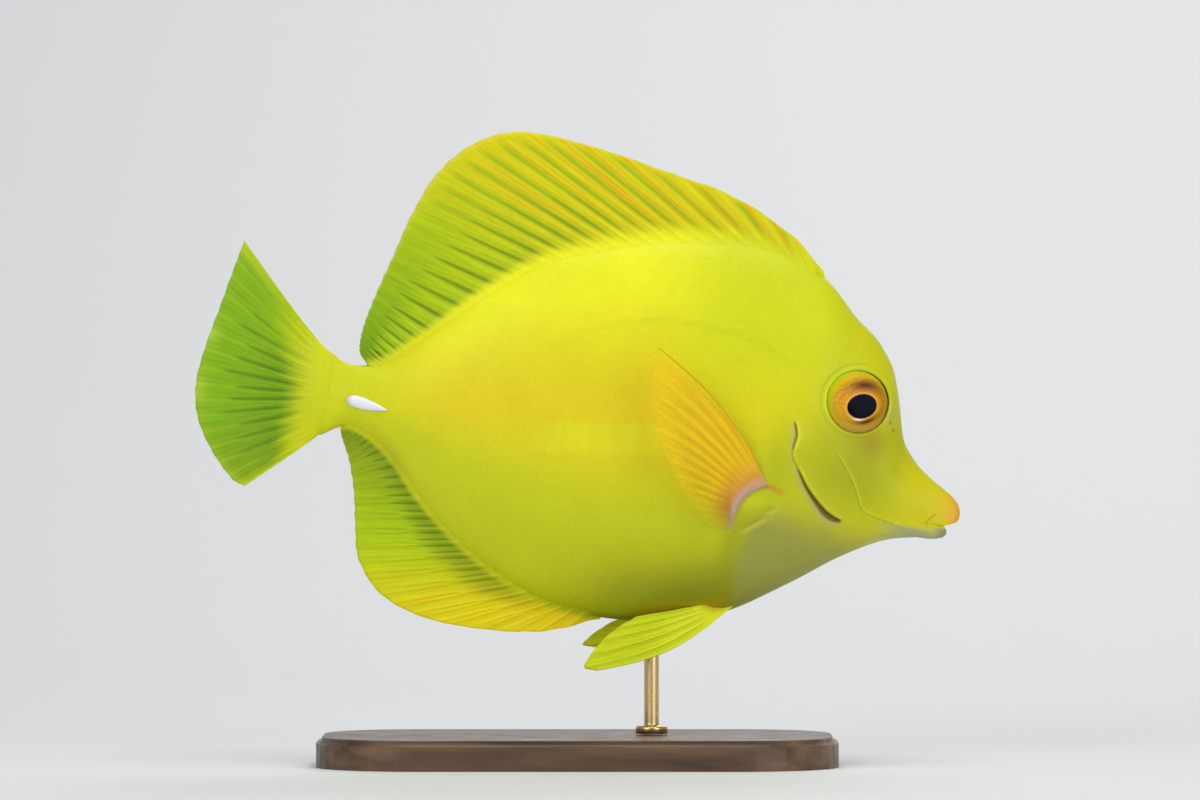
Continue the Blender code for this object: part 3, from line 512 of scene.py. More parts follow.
def store(mesh, name, values):
    values = np.asarray(values, np.float32)
    if name == "paint":
        layer = mesh.attributes.new(name, "FLOAT_COLOR", "POINT")
        full = np.concatenate([np.clip(values, 0, 1), np.ones((len(values), 1), np.float32)], axis=1)
        layer.data.foreach_set("color", full.ravel())
    elif values.ndim == 2:
        layer = mesh.attributes.new(name, "FLOAT_VECTOR", "POINT")
        layer.data.foreach_set("vector", values.ravel())
    else:
        layer = mesh.attributes.new(name, "FLOAT", "POINT")
        layer.data.foreach_set("value", values)


def fix_normals(mesh):
    shape = bmesh.new()
    shape.from_mesh(mesh)
    bmesh.ops.recalc_face_normals(shape, faces=shape.faces)
    shape.to_mesh(mesh)
    shape.free()


def make_piece(name, points, faces, material, nodes, attributes=None):
    """Points are (s, y, z) in millimetres in the fish's frame."""
    mesh = bpy.data.meshes.new(name)
    mesh.from_pydata(in_model(points).tolist(), [], [tuple(f) for f in faces])
    fix_normals(mesh)
    mesh.polygons.foreach_set("use_smooth", [True] * len(mesh.polygons))
    store(mesh, "place", points)
    for key, values in (attributes or {}).items():
        store(mesh, key, values)
    mesh.materials.append(material)
    piece = link_object(name, mesh)
    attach(piece, "root")
    if nodes:
        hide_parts(*nodes)
    print(name, "has", len(points), "points and", len(faces), "faces")
    return piece


print("paper white on a screen is", screen((255, 255, 255))[0], "to a shader")

# %% [markdown]
# ## The body's shape
# The body is a thin disc with a pointed face. Its outline seen from the side, its half width seen
# from above, and how high in each cross-section the widest place lies are smooth curves. From
# them one function gives the half thickness at any place on the side. The cheek is pressed flat
# round the eye, the lips swell, and a pad carries the pectoral fin.

# %% Body curves
BACK_LINE = [
    (0.05, 0.1), (0.4, 1.0), (1.6, 2.35), (4.1, 3.95), (7.6, 5.9), (11.4, 8.9), (14.3, 13.2),
    (15.9, 18.6), (18.0, 24.3), (21.5, 29.3), (28.2, 34.6), (34.0, 39.8), (41.0, 43.2),
    (50.0, 44.7), (60.0, 43.6), (80.0, 38.2), (92.0, 32.6), (102.0, 24.2), (113.0, 12.9),
    (119.5, 7.1), (124.0, 5.9), (127.0, 6.1), (129.6, 7.6),
]
BELLY_LINE = [
    (0.05, -1.6), (0.5, -3.0), (1.5, -4.6), (3.2, -5.6), (8.2, -6.4), (13.2, -7.8),
    (20.9, -12.2), (31.0, -20.1), (42.3, -28.0), (55.0, -32.3), (70.0, -33.9), (81.0, -32.5),
    (90.0, -28.9), (101.4, -22.0), (107.0, -17.4), (113.0, -11.5), (119.0, -7.4), (124.3, -6.3),
    (129.0, -9.2),
]
HALF_WIDTH = [
    (0.05, 0.7), (0.5, 1.45), (1.8, 2.15), (3.6, 2.45), (6.0, 2.9), (11.0, 4.6), (17.0, 6.8),
    (25.0, 9.1), (34.0, 10.3), (46.0, 10.6), (60.0, 10.2), (76.0, 8.9), (92.0, 7.0),
    (106.0, 5.0), (116.0, 3.6), (124.0, 3.0), (129.6, 2.3),
]
WAIST = [(0.05, 0.5), (10.0, 0.44), (24.0, 0.48), (46.0, 0.46), (90.0, 0.49), (129.6, 0.5)]
ROUNDNESS = [(0.05, 0.5), (12.0, 0.52), (30.0, 0.6), (60.0, 0.64), (110.0, 0.6), (129.6, 0.55)]
EDGE_HALF = [(0.05, 0.25), (1.5, 0.4), (8.0, 0.5), (30.0, 0.8), (129.6, 0.8)]
back, belly = smooth_curve(BACK_LINE), smooth_curve(BELLY_LINE)
half_width, waist = smooth_curve(HALF_WIDTH), smooth_curve(WAIST)
roundness, edge_half = smooth_curve(ROUNDNESS), smooth_curve(EDGE_HALF)

EYE_S, EYE_Z, ORBIT_Y = 24.6, 17.9, 7.5
EYE_FORWARD, EYE_UP = math.radians(12.0), math.radians(9.0)
ORBIT_FLAT, ORBIT_BLEND = 6.3, 9.5
PECTORAL_TOP, PECTORAL_BOTTOM, PECTORAL_BOW = (38.8, -2.4), (44.1, -11.9), (1.5, 1.4)
PECTORAL_MIDDLE = (42.6, -6.0)


def plain_half(s, z):
    """Half thickness of the smooth body."""
    low, high = belly(s), back(s)
    share = np.clip((z - low) / (high - low), 0.0, 1.0)
    warped = share ** (math.log(0.5) / np.log(waist(s)))
    swell = np.maximum(np.sin(np.pi * warped), 0.0) ** roundness(s)
    return edge_half(s) + (half_width(s) - edge_half(s)) * swell


def orbit_plane(s, z):
    """Half thickness of the flat round the eye, which faces outwards, forwards and up."""
    return ORBIT_Y + math.tan(EYE_FORWARD) * (s - EYE_S) - math.tan(EYE_UP) * (z - EYE_Z)


def body_half(s, z):
    """Half thickness with the eye's flat, the lips and the pad that carries the pectoral fin."""
    y = plain_half(s, z)
    inner = np.minimum((y - edge_half(s)) / 2.0, 1.0)
    near = 1 - ease(ORBIT_FLAT, ORBIT_BLEND, np.hypot(s - EYE_S, z - EYE_Z))
    y = mix(y, orbit_plane(s, z), near * inner)
    y = y + 0.35 * hump(z, -2.9, 1.6) * (1 - ease(3.0, 7.0, s)) * inner
    return y + 0.9 * hump(s, PECTORAL_MIDDLE[0], 4.5) * hump(z, PECTORAL_MIDDLE[1], 7.5)


print("half width behind the gill cover:", round(float(body_half(46.0, 2.0)), 2), "mm")

# %% [markdown]
# ## Folds of the head and breast
# The gill cover stands proud of a narrow slit that runs down behind the cheek and forward under
# the throat. In front of it a fine groove marks the bone of the cheek. A soft raised ring of skin
# holds the eye, two nostrils lie in front of it, and small creases run behind the mouth and under
# the pectoral fin. They are real relief, a fraction of a millimetre deep, so that they catch light.

# %% Relief of the skin
GILL_SLIT = smooth_path([(36.6, 12.7), (35.7, 10.9), (35.1, 8.9), (35.3, 6.8), (35.2, 4.8), (33.5, 2.4),
                         (31.5, -0.3), (29.4, -2.4), (26.7, -4.6), (24.4, -5.6), (22.1, -6.0)])
CHEEK_LINE = smooth_path([(28.5, 9.2), (25.1, 5.3), (22.4, 2.0), (20.8, -0.8), (19.5, -3.0),
                          (16.2, -4.0), (11.5, -4.8), (8.2, -5.1)])
MOUTH_LINE = smooth_path([(2.7, -3.22), (3.6, -3.3), (4.6, -3.2), (5.7, -3.1)], 16)
LIP_CREASE = smooth_path([(4.6, -0.9), (5.4, -1.9), (6.3, -2.9), (6.2, -3.8), (5.4, -4.6)], 16)
FIN_CREASE = smooth_path([(39.6, -1.5), (38.4, -2.1), (37.0, -2.6), (35.4, -2.9), (33.6, -3.1)], 16)
BREAST_EDGE = smooth_path([(42.0, -24.0), (42.3, -17.7), (42.2, -14.8), (40.7, -9.9), (37.4, -6.7),
                           (34.0, -3.6), (31.8, -3.0)], 32)
BREAST_CREASE = smooth_path([(36.4, -4.6), (39.2, -8.3), (42.0, -10.8), (43.0, -12.8)], 16)
LATERAL_LINE = smooth_path([(36.0, 21.5), (42.7, 24.7), (48.9, 26.3), (55.8, 26.7), (63.0, 26.7),
                            (74.0, 24.0), (88.0, 17.0), (100.0, 9.0), (112.0, 2.2)])
NOSTRILS = [(16.4, 13.6, 0.42), (17.3, 15.0, 0.32)]
RING_S, RING_Z = 24.5, 17.9

CREASES = [  # path, height, half width, and where along the path it starts and ends
    (LIP_CREASE, -0.16, 0.22, (0.0, 0.2, 0.8, 1.0)), (MOUTH_LINE, -0.22, 0.18, (-1.0, 0.0, 0.2, 0.8)),
    (FIN_CREASE, -0.25, 0.3, (0.0, 0.2, 0.6, 1.0)), (BREAST_CREASE, -0.22, 0.4, (0.0, 0.3, 0.7, 1.0)),
    (LATERAL_LINE, 0.05, 0.6, (0.0, 0.1, 0.8, 1.0)),
]
# across the slit, from the gill cover (below 0) to the body behind it
SLIT_STEP = smooth_curve([(-3.6, 0.0), (-2.6, 0.07), (-1.0, 0.3), (-0.35, 0.4), (0.2, -0.25), (0.6, -0.36),
                          (1.2, -0.18), (1.9, -0.03), (2.3, 0.0)])
SLIT_WIDTH = smooth_curve([(0.0, 0.1), (0.1, 0.28), (0.26, 0.34), (0.38, 0.12), (0.46, 0.2), (0.58, 0.5),
                           (0.72, 0.85), (0.85, 1.15), (0.93, 0.8), (1.0, 0.2)])


def slit_strength(share):
    """How open the gill slit is along its length: a short piece, a pinch and the long arc."""
    upper = 0.6 * window(share, 0.0, 0.12, 0.30, 0.38)
    lower = window(share, 0.42, 0.60, 0.86, 1.0)
    return np.maximum(np.maximum(upper, lower), 0.3 * window(share, 0.1, 0.2, 0.8, 0.9))


def relief(s, z):
    """What the skin rises or sinks at (s, z), outwards."""
    far, share, side = near_path(s, z, GILL_SLIT)
    out = SLIT_STEP(far * side) * slit_strength(share)
    far, share, side = near_path(s, z, CHEEK_LINE)
    strength = window(share, 0.0, 0.15, 0.8, 1.0)
    out += 0.10 * (hump(far * side, -0.35, 0.35) - hump(far * side, 0.2, 0.3)) * strength
    far, share, side = near_path(s, z, FIN_CREASE)
    out += 0.25 * hump(far, 0.7, 0.5) * window(share, 0.0, 0.2, 0.6, 1.0) * (side > 0)
    for path, height, width, span in CREASES:
        far, share = near_path(s, z, path)[:2]
        out += height * hump(far, 0.0, width) * window(share, *span)
    r = np.hypot(s - RING_S, z - RING_Z)
    rear_side = 0.5 + 0.5 * (s - RING_S) / np.maximum(r, 1e-6)
    out += 0.24 * hump(r, 6.72, 0.3) - 0.14 * hump(r, 6.35, 0.14) - 0.1 * rear_side * hump(r, 7.6, 0.3)
    out -= 2.0 * (1 - ease(5.7, 6.15, r))
    for nostril_s, nostril_z, radius in NOSTRILS:
        r = np.hypot(s - nostril_s, z - nostril_z)
        out += 0.08 * hump(r, radius + 0.15, 0.2) - 0.4 * (1 - ease(radius * 0.3, radius, r))
    return out


def skin_half(s, z):
    y = body_half(s, z)
    y = y - 0.25 * (1 - ease(-3.3, -3.0, z)) * (1 - ease(4.0, 9.0, s)) * np.minimum(y / 2, 1)
    free = ease(0.0, 1.2, y - edge_half(s))
    return np.maximum(y + relief(s, z) * free, edge_half(s) * 0.9)


print("gill cover stands", round(float(relief(np.array([34.0]), np.array([7.0]))[0]), 2), "mm proud")

# %% [markdown]
# ## One skin
# A single skin covers head, body and tail stem, so no seam shows between them. Half of it is a flat
# net that follows the body's natural lines, from belly to back. The net is made finer only where
# small folds need it, then pushed out to each side, and the two halves are closed along the back
# and belly. A net over the whole body fine enough for the eye's rim would be ten times heavier.

# %% Net of the side
SECTION_LINES = [  # s on the back, s on the belly, lean backwards
    (0.05, 0.05, 0.0), (5.0, 4.0, 1.0), (12.5, 6.0, 4.0), (16.5, 7.5, 8.0), (24.0, 9.0, 11.5),
    (32.5, 12.5, 17.0), (44.0, 30.0, 15.0), (56.0, 46.0, 10.0), (70.0, 63.0, 5.0),
    (86.0, 82.0, 1.5), (102.0, 101.0, 0.0), (114.5, 113.5, 0.0), (129.6, 129.0, 0.0),
]
line_back, line_belly, line_lean = (
    smooth_curve([(i, line[k]) for i, line in enumerate(SECTION_LINES)]) for k in range(3))
NET_SPANS = [(0, 5, 58), (5, 11, 116), (11, 12, 26)]  # from line, to line, steps
NET_HEIGHT = 92


def line_point(u, t):
    """(s, z) on section line u, at share t of the way from belly to back."""
    s_low, s_high = line_belly(u), line_back(u)
    z_low, z_high = belly(s_low), back(s_high)
    s = mix(s_low, s_high, t) + line_lean(u) * np.sin(np.pi * np.sqrt(t))
    return s, np.maximum(mix(z_low, z_high, t), belly(s))


def needs_detail(s, z, level):
    """Where the net is cut finer, for the first and for the second time."""
    margin = 0.5 if level == 0 else 0.0
    r = np.hypot(s - RING_S, z - RING_Z)
    keep = (r > 5.6 - margin) & (r < 7.9 + margin)
    keep |= near_path(s, z, GILL_SLIT)[0] < 1.0 + margin
    keep |= near_path(s, z, CHEEK_LINE)[0] < 0.4 + margin
    keep |= (s < 6.8 + margin) & (z < -1.2 + margin)
    for nostril_s, nostril_z, radius in NOSTRILS:
        keep |= np.hypot(s - nostril_s, z - nostril_z) < radius + 0.5 + margin
    return keep


def side_net():
    """The flat net of one side, as a mesh in the (s, z) plane."""
    u = np.concatenate([[0.0]] + [np.linspace(a, b, steps + 1)[1:] for a, b, steps in NET_SPANS])
    even = np.linspace(0, 1, NET_HEIGHT + 1)
    t = mix((1 - np.cos(np.pi * even)) / 2, even, 0.3)
    s, z = line_point(u[:, None], t[None, :])
    net = bmesh.new()
    verts = [[net.verts.new((s[i, j], 0.0, z[i, j])) for j in range(len(t))] for i in range(len(u))]
    for i in range(len(u) - 1):
        for j in range(len(t) - 1):
            net.faces.new((verts[i][j], verts[i + 1][j], verts[i + 1][j + 1], verts[i][j + 1]))
    for level in range(2):
        net.faces.index_update()
        middles = np.array([face.calc_center_median() for face in net.faces])
        chosen = needs_detail(middles[:, 0], middles[:, 2], level)
        edges = [edge for edge in net.edges if any(chosen[face.index] for face in edge.link_faces)]
        bmesh.ops.subdivide_edges(net, edges=edges, cuts=1, use_grid_fill=True)
    return net


# %% Skin mesh
RIM_BULGE = 0.3  # how far the closing edge stands out, as a share of the edge's half thickness
SNOUT_END, STEM_END = 0.06, 128.9  # before and behind these the edge bulges forwards, and not at all


def rim_point(s, z):
    """The point midway between the two sides that closes them at (s, z) on the rim."""
    bulge = RIM_BULGE * float(edge_half(s))
    if s < SNOUT_END:
        return (s - bulge, 0.0, z)
    if s > STEM_END:
        return (s, 0.0, z)
    up = 1 if z > (float(back(s)) + float(belly(s))) / 2 else -1
    return (s, 0.0, z + up * bulge)


def skin_mesh():
    """Both sides of the net pushed outwards and closed along their common edge."""
    net = side_net()
    net.verts.index_update()
    flat = np.array([vert.co for vert in net.verts])
    s, z = flat[:, 0], flat[:, 2]
    y = skin_half(s, z)
    count = len(flat)
    faces = [[v.index for v in face.verts] for face in net.faces]
    faces += [[v.index + count for v in reversed(face.verts)] for face in net.faces]
    rim = [vert for vert in net.verts if vert.is_boundary]
    middle = {vert.index: 2 * count + i for i, vert in enumerate(rim)}
    closing = [rim_point(vert.co.x, vert.co.z) for vert in rim]
    for edge in net.edges:
        if edge.is_boundary:
            a, b = (vert.index for vert in edge.verts)
            faces.append([a, b, middle[b], middle[a]])
            faces.append([middle[a], middle[b], b + count, a + count])
    net.free()
    return np.concatenate([np.stack([s, -y, z], 1), np.stack([s, y, z], 1), closing]), faces


skin_points, skin_faces = skin_mesh()
print("skin:", len(skin_points), "points,", len(skin_faces), "faces")

# %% [markdown]
# ## The skin's colours
# A yellow tang is lemon yellow all over, yet no two parts of it have the same yellow. The back is
# brightest, partly as painted light from above, the flank is warmer, the lower side is greener and
# darker, partly as painted shade, and throat and chin are almost grey. The gill slit has a painted
# highlight on its edge and painted shade inside, with a pale edge behind it, and a ring of green-yellow
# skin surrounds the eye, with a painted highlight on its upper rim. Creases and nostrils are darkened
# as painted shade. Each tone is one soft mask and one colour, laid over the last.

# %% Broad tones
YELLOW, LIT_LEMON, WARM, GREENISH, OLIVE = screen(
    (228, 220, 8), (240, 240, 24), (234, 208, 8), (204, 211, 12), (160, 168, 12))
HEAD_BACK, HEAD_TOP, CHEEK, SNOUT, LIP_TIP = screen(
    (214, 220, 12), (206, 204, 6), (156, 168, 2), (214, 198, 6), (230, 172, 44))
STEM_EDGE_SHADE, BELLY_SHADE, BELLY_WARM_SHADE = screen((170, 164, 6), (128, 134, 10), (200, 150, 6))


def broad_tones(s, z):
    """Back, flank and belly, with painted light on the back and painted shade low down, then the head, then
    painted shade along the edge of the belly.
    """
    above_belly = z - belly(s)
    share = np.clip(above_belly / (back(s) - belly(s)), 0, 1)
    return coats(
        np.tile(YELLOW, (len(s), 1)),
        # painted light: the back is lighter, partly its own lemon and partly light falling from above
        (LIT_LEMON, ease(0.62, 0.92, share) * window(s, 24, 40, 100, 118)),
        (WARM, 0.75 * hump(share, 0.52, 0.17) * window(s, 52, 66, 100, 116)),
        # painted shade: greener and darker olive towards the belly, partly the fish's own colour and partly
        # shade
        (GREENISH, (1 - ease(0.22, 0.52, share)) * window(s, 26, 40, 112, 124)),
        (OLIVE, 0.85 * (1 - ease(0.02, 0.28, share)) * window(s, 20, 34, 60, 84)),
        (HEAD_BACK, window(s, 14, 24, 50, 70) * ease(0.5, 0.8, share)),
        (HEAD_TOP, 0.9 * (1 - ease(24, 38, s)) * ease(6.0, 14.0, z)),
        (CHEEK, 0.8 * hump(s, 23, 14) * hump(z, 4.0, 11.0)),
        (CHEEK, 0.4 * hump(s, 38.5, 3.5) * hump(z, 2.0, 8.0)),
        # painted shade along the lower edge of the tail stem
        (STEM_EDGE_SHADE, 0.5 * (1 - ease(0.5, 4.5, above_belly)) * window(s, 108, 114, 124, 130)),
        # painted shade: darker along the bottom of the belly
        (BELLY_SHADE, 0.8 * hump(s, 50, 13) * (1 - ease(0.03, 0.2, share))),
        (SNOUT, (1 - ease(4, 15, s)) * ease(-4.5, -1.5, z)),
        (LIP_TIP, (1 - ease(0.4, 5.0, s)) * ease(-3.2, -1.8, z)),
        # painted shade: a warm brown shading low on the belly above the pelvic root
        (BELLY_WARM_SHADE, 0.55 * hump(above_belly, 2.0, 1.3) * window(s, 41, 44, 54, 64)))


print("skin colours: the flank is", broad_tones(np.array([60.0]), np.array([5.0]))[0])

# %% Throat, flank and cheek
BREAST_SHADE, THROAT, CHIN, LIP_GREY = screen(
    (150, 156, 20), (160, 162, 70), (172, 177, 120), (132, 134, 108))
STEM_GREEN, BAND_PALE, BROWNISH_SHADE, BROW_GREY_SHADE = screen(
    (208, 216, 14), (230, 230, 20), (160, 136, 2), (186, 174, 104))
BAND_REAR, BAND_FRONT = (88.3, -1.5), (55.8, 4.0)  # ends of the pale band's middle line


def spot(s, z, middle, half):
    """A soft oval patch."""
    return hump(np.hypot((s - middle[0]) / half[0], (z - middle[1]) / half[1]), 0, 1.0)


def throat_tones(paint, s, z):
    """The grey-green throat under the breast's edge, the chin and the lower lip."""
    far, _, side = near_path(s, z, BREAST_EDGE)
    throat = (1 - ease(-14.5, -4.0, z - 0.16 * (s - 18.0))) * ease(-1.2, 1.6, far * side)
    lower_lip = (1 - ease(-4.2, -3.35, z)) * (1 - ease(2.5, 7.0, s))
    chin = (1 - ease(-5.4, -3.9, z)) * (1 - ease(9, 18, s))
    return coats(
        paint,
        (BREAST_SHADE, 0.5 * hump(far * side, -1.6, 2.4) * (1 - ease(-9.0, -5.0, z))),
        (THROAT, 0.9 * throat),
        (CHIN, np.maximum(chin, 0.85 * lower_lip)),
        (LIP_GREY, 0.75 * lower_lip * (1 - ease(2.5, 5.0, s))))


def flank_tones(paint, s, z):
    """The greener tail stem, the speckled pale band along the flank, and spots of painted shade below and
    before the eye.
    """
    above = z - mix(BAND_REAR[1], BAND_FRONT[1], (BAND_REAR[0] - s) / (BAND_REAR[0] - BAND_FRONT[0]))
    band = window(s, BAND_FRONT[0] - 3, BAND_FRONT[0] + 5, BAND_REAR[0] - 6, BAND_REAR[0] + 1)
    specks = 0.75 + 0.25 * np.sin(s * 9.0) * np.sin(above * 11.0 + s)
    return coats(
        paint,
        (STEM_GREEN, 0.7 * ease(108, 122, s)),
        (BAND_PALE, 0.8 * specks * band * window(above, -3.9, -2.3, 2.3, 3.9)),
        # painted shade: a soft olive-brown shadow under the eye
        (BROWNISH_SHADE, 0.5 * spot(s, z, (20.2, 10.0), (2.6, 3.2))),
        (BROWNISH_SHADE, 0.35 * spot(s, z, (21.4, 10.6), (4.8, 2.2))),
        # painted shade in the groove before the eye, by the nostrils
        (BROW_GREY_SHADE, 0.5 * spot(s, z, (17.7, 16.6), (1.2, 2.2))))


print("pale band", round(BAND_REAR[0] - BAND_FRONT[0], 1), "mm long")

# %% Lines, slit and ring
CHEEK_PALE_AND_HIGHLIGHT, CHEEK_DOTS, NOSTRIL = screen((232, 228, 60), (150, 150, 24), (150, 144, 24))
MOUTH_CLEFT_SHADE, LIP_LINE_SHADE, FIN_ORANGE, BREAST_LINE_SHADE = screen(
    (150, 128, 24), (186, 152, 16), (206, 128, 8), (150, 150, 40))
SLIT_SHADE, SLIT_BROWN, SLIT_PALE = screen((80, 64, 30), (132, 108, 34), (176, 172, 128))
RING_GREEN, RING_HIGHLIGHT, RING_GROOVE_SHADE, RING_LINE = screen(
    (186, 206, 12), (226, 244, 76), (140, 158, 6), (66, 72, 12))
# painted shade darkens the mouth line, the lip crease and the breast crease
CREASE_PAINT = [  # path, colour, half width, strength
    (MOUTH_LINE, MOUTH_CLEFT_SHADE, 0.16, 0.4), (LIP_CREASE, LIP_LINE_SHADE, 0.22, 0.5),
    (FIN_CREASE, FIN_ORANGE, 0.5, 0.9), (BREAST_CREASE, BREAST_LINE_SHADE, 0.5, 0.5),
]


def line_paint(paint, s, z):
    """The cheek's dotted line, the lateral line and the creases, most darkened as painted shade, the breast's
    with a painted highlight along its edge.
    """
    far, share, side = near_path(s, z, CHEEK_LINE)
    there = window(share, 0.0, 0.15, 0.8, 1.0)
    dots = 0.55 + 0.45 * np.sin(share * 150)
    paint = coats(
        paint,
        (CHEEK_PALE_AND_HIGHLIGHT, 0.55 * hump(far * side, -0.22, 0.16) * there),
        (CHEEK_DOTS, 0.5 * hump(far * side, 0.25, 0.2) * there * dots))
    far, share = near_path(s, z, LATERAL_LINE)[:2]
    paint = coats(paint, (GREENISH * 0.85, 0.3 * hump(far, 0.0, 0.5) * window(share, 0.0, 0.15, 0.5, 0.8)))
    for path, colour, width, amount in CREASE_PAINT:
        far, share = near_path(s, z, path)[:2]
        paint = coats(paint, (colour, amount * hump(far, 0.0, width) * window(share, 0.0, 0.12, 0.4, 1.0)))
    # painted highlight along the upper edge of the breast crease
    far, share, side = near_path(s, z, BREAST_CREASE)
    beside = hump(far * side, -0.75, 0.35) * window(share, 0.0, 0.1, 0.6, 1.0)
    return coats(paint, (CHEEK_PALE_AND_HIGHLIGHT, 0.45 * beside))


def slit_paint(paint, s, z):
    """The gill slit: a painted highlight on the edge before it, brown inside with painted shade in its depth,
    and a pale edge behind.
    """
    far, share, side = near_path(s, z, GILL_SLIT)
    across, wide = far * side, SLIT_WIDTH(share)
    open_here = ease(0.15, 0.5, slit_strength(share))
    return coats(
        paint,
        # painted highlight on the raised edge of the gill cover
        (LIT_LEMON, 0.6 * open_here * hump(across, -0.35, 0.25)),
        (SLIT_PALE, 0.55 * open_here * hump(across, wide + 0.35, 0.35)),
        (SLIT_BROWN, open_here * window(across, -0.12, 0.12, wide - 0.2, wide + 0.2)),
        # painted shade deep in the slit
        (SLIT_SHADE, 0.8 * open_here * hump(across, 0.2, 0.1 + 0.25 * wide)))


def ring_paint(paint, s, z):
    """The bright skin round the eye, brightest behind it and a little above as painted light, with a painted
    highlight on its rim and painted shade in the groove outside, its dark inner line, and the nostrils.
    """
    r = np.hypot(s - RING_S, z - RING_Z)
    lit = toward(np.arctan2(z - RING_Z, s - RING_S), 0.5, 1.2)
    paint = coats(
        paint,
        (RING_GREEN, window(r, 6.1, 6.3, 6.6, 7.3) * (0.1 + 0.5 * lit)),
        # painted highlight on the raised rim, strongest on its lit side
        (RING_HIGHLIGHT, hump(r, 6.55, 0.17) * (0.2 + 0.8 * lit)),
        # painted shade in the groove outside the rim
        (RING_GROOVE_SHADE, 0.45 * hump(r, 7.5, 0.2) * lit),
        (RING_LINE, 1 - ease(6.16, 6.28, r)))
    for nostril_s, nostril_z, radius in NOSTRILS:
        r = np.hypot(s - nostril_s, z - nostril_z)
        # painted shade in the nostril pits
        paint = coats(paint, (NOSTRIL, 0.3 * (1 - ease(radius * 0.3, radius * 1.3, r))))
    return paint


def skin_paint(s, z):
    paint = broad_tones(s, z)
    for more in (throat_tones, flank_tones, line_paint, slit_paint, ring_paint):
        paint = more(paint, s, z)
    return paint


def skin_scaly(s, z):
    """Where the skin is rough: not on the lips, the eye's ring or inside the slit."""
    r = np.hypot(s - RING_S, z - RING_Z)
    return ease(2, 9, s) * ease(6.8, 8.2, r) * ease(0.4, 1.2, near_path(s, z, GILL_SLIT)[0])


print("the slit's middle is painted", skin_paint(np.array([35.4]), np.array([7.0]))[0])

# %% Skin piece
FLESH = ["head", "lower_jaw", "torso", "tail_stem"]
MOUTH_OPENING = [
    (-2.0, -1.15), (0.0, -1.3), (0.16, -1.6), (0.42, -1.95), (0.8, -2.24), (1.3, -2.5), (2.0, -2.8),
    (2.5, -3.05), (2.85, -3.2), (2.6, -3.32), (2.35, -3.55), (2.12, -3.85), (2.0, -4.2), (1.98, -4.6),
    (2.08, -4.95), (2.35, -5.25), (2.4, -5.6), (2.4, -9.0), (-2.0, -9.0),
]


def open_mouth(skin):
    """Cuts the mouth's opening through the snout with a thin curved wedge."""
    count = len(MOUTH_OPENING)
    points = [(s, y, z) for y in (-6.0, 6.0) for s, z in MOUTH_OPENING]
    faces = [tuple(range(count)), tuple(range(2 * count - 1, count - 1, -1))]
    faces += [(i, (i + 1) % count, count + (i + 1) % count, count + i) for i in range(count)]
    mesh = bpy.data.meshes.new("mouth_wedge")
    mesh.from_pydata(in_model(points).tolist(), [], faces)
    fix_normals(mesh)
    wedge = link_object("mouth_wedge", mesh)
    cut = skin.modifiers.new("mouth", "BOOLEAN")
    cut.object, cut.operation, cut.solver = wedge, "DIFFERENCE", "MANIFOLD"
    graph = bpy.context.evaluated_depsgraph_get()
    opened = bpy.data.meshes.new_from_object(skin.evaluated_get(graph))
    skin.modifiers.clear()
    skin.data = opened
    bpy.data.objects.remove(wedge, do_unlink=True)


def points_of(mesh):
    flat = np.empty(len(mesh.vertices) * 3)
    mesh.vertices.foreach_get("co", flat)
    return flat.reshape(-1, 3)


skin = make_piece("skin_all_over", skin_points, skin_faces, SKIN, FLESH)
open_mouth(skin)
place = in_fish(points_of(skin.data))
store(skin.data, "paint", skin_paint(place[:, 0], place[:, 2]))
store(skin.data, "scaly", skin_scaly(place[:, 0], place[:, 2]))
skin.data.attributes.remove(skin.data.attributes["place"])
store(skin.data, "place", place)
print("skin with its mouth open:", len(skin.data.vertices), "points")

# %% [markdown]
# ## A sheet with two faces
# Every fin is a thin sheet that is open nowhere. It is described once, as a net of middle points
# with a thickness and a direction at each, and the same few lines then build its two faces and
# close its edge. A solidify modifier could do it, but not with rays that stand up from the sheet.

# %% Sheet helper
COLUMNS_PER_RAY = 16
SIDEWAYS = np.array([0.0, 1.0, 0.0])


def sheet(middle, normal, half):
    """Points and faces of a closed sheet from arrays over (columns, rows)."""
    columns, rows = half.shape
    right = (middle - normal * half[:, :, None]).reshape(-1, 3)
    left = (middle + normal * half[:, :, None]).reshape(-1, 3)
    count = columns * rows
    c, r = np.meshgrid(np.arange(columns - 1), np.arange(rows - 1), indexing="ij")
    a = (c * rows + r).ravel()
    faces = np.stack([a, a + rows, a + rows + 1, a + 1], 1).tolist()
    faces += np.stack([a + 1 + count, a + rows + 1 + count, a + rows + count, a + count], 1).tolist()
    edge = [k * rows for k in range(columns)]
    edge += [(columns - 1) * rows + k for k in range(1, rows)]
    edge += [k * rows + rows - 1 for k in range(columns - 2, -1, -1)]
    edge += [k for k in range(rows - 2, 0, -1)]
    faces += [[a, b, b + count, a + count] for a, b in zip(edge, edge[1:] + edge[:1])]
    return np.concatenate([right, left]), faces


def ray_pattern(u, v, rays, spines, forks):
    """For each place on a fin: its ray's number, how far it is from a branch, and from the ray.

    Soft rays fork at the given shares of their length, spines do not.
    """
    phase = u * (rays - 1)
    number = np.round(phase)
    off = np.abs(phase - number)
    soft = (number >= spines).astype(float)
    first, second = forks
    apart = soft * 0.15 * ease(first[0], first[1], v)
    branch = np.abs(off - apart)
    again = soft * 0.07 * ease(second[0], second[1], v)
    branch = np.abs(branch - again)
    return number, branch, off


def scallop(off, depth, length, limit=0.4):
    """How much shorter the skin's edge is between two rays, as a share of the ray."""
    return 1 - np.minimum(depth, limit * length) / length * (1 - np.cos(2 * np.pi * off)) / 2


def guide_curves(guides):
    """Three curves over the share from the first to the last guide, one for each of its numbers."""
    count = len(guides) - 1
    return [smooth_curve([(i / count, g[k]) for i, g in enumerate(guides)]) for k in range(3)]


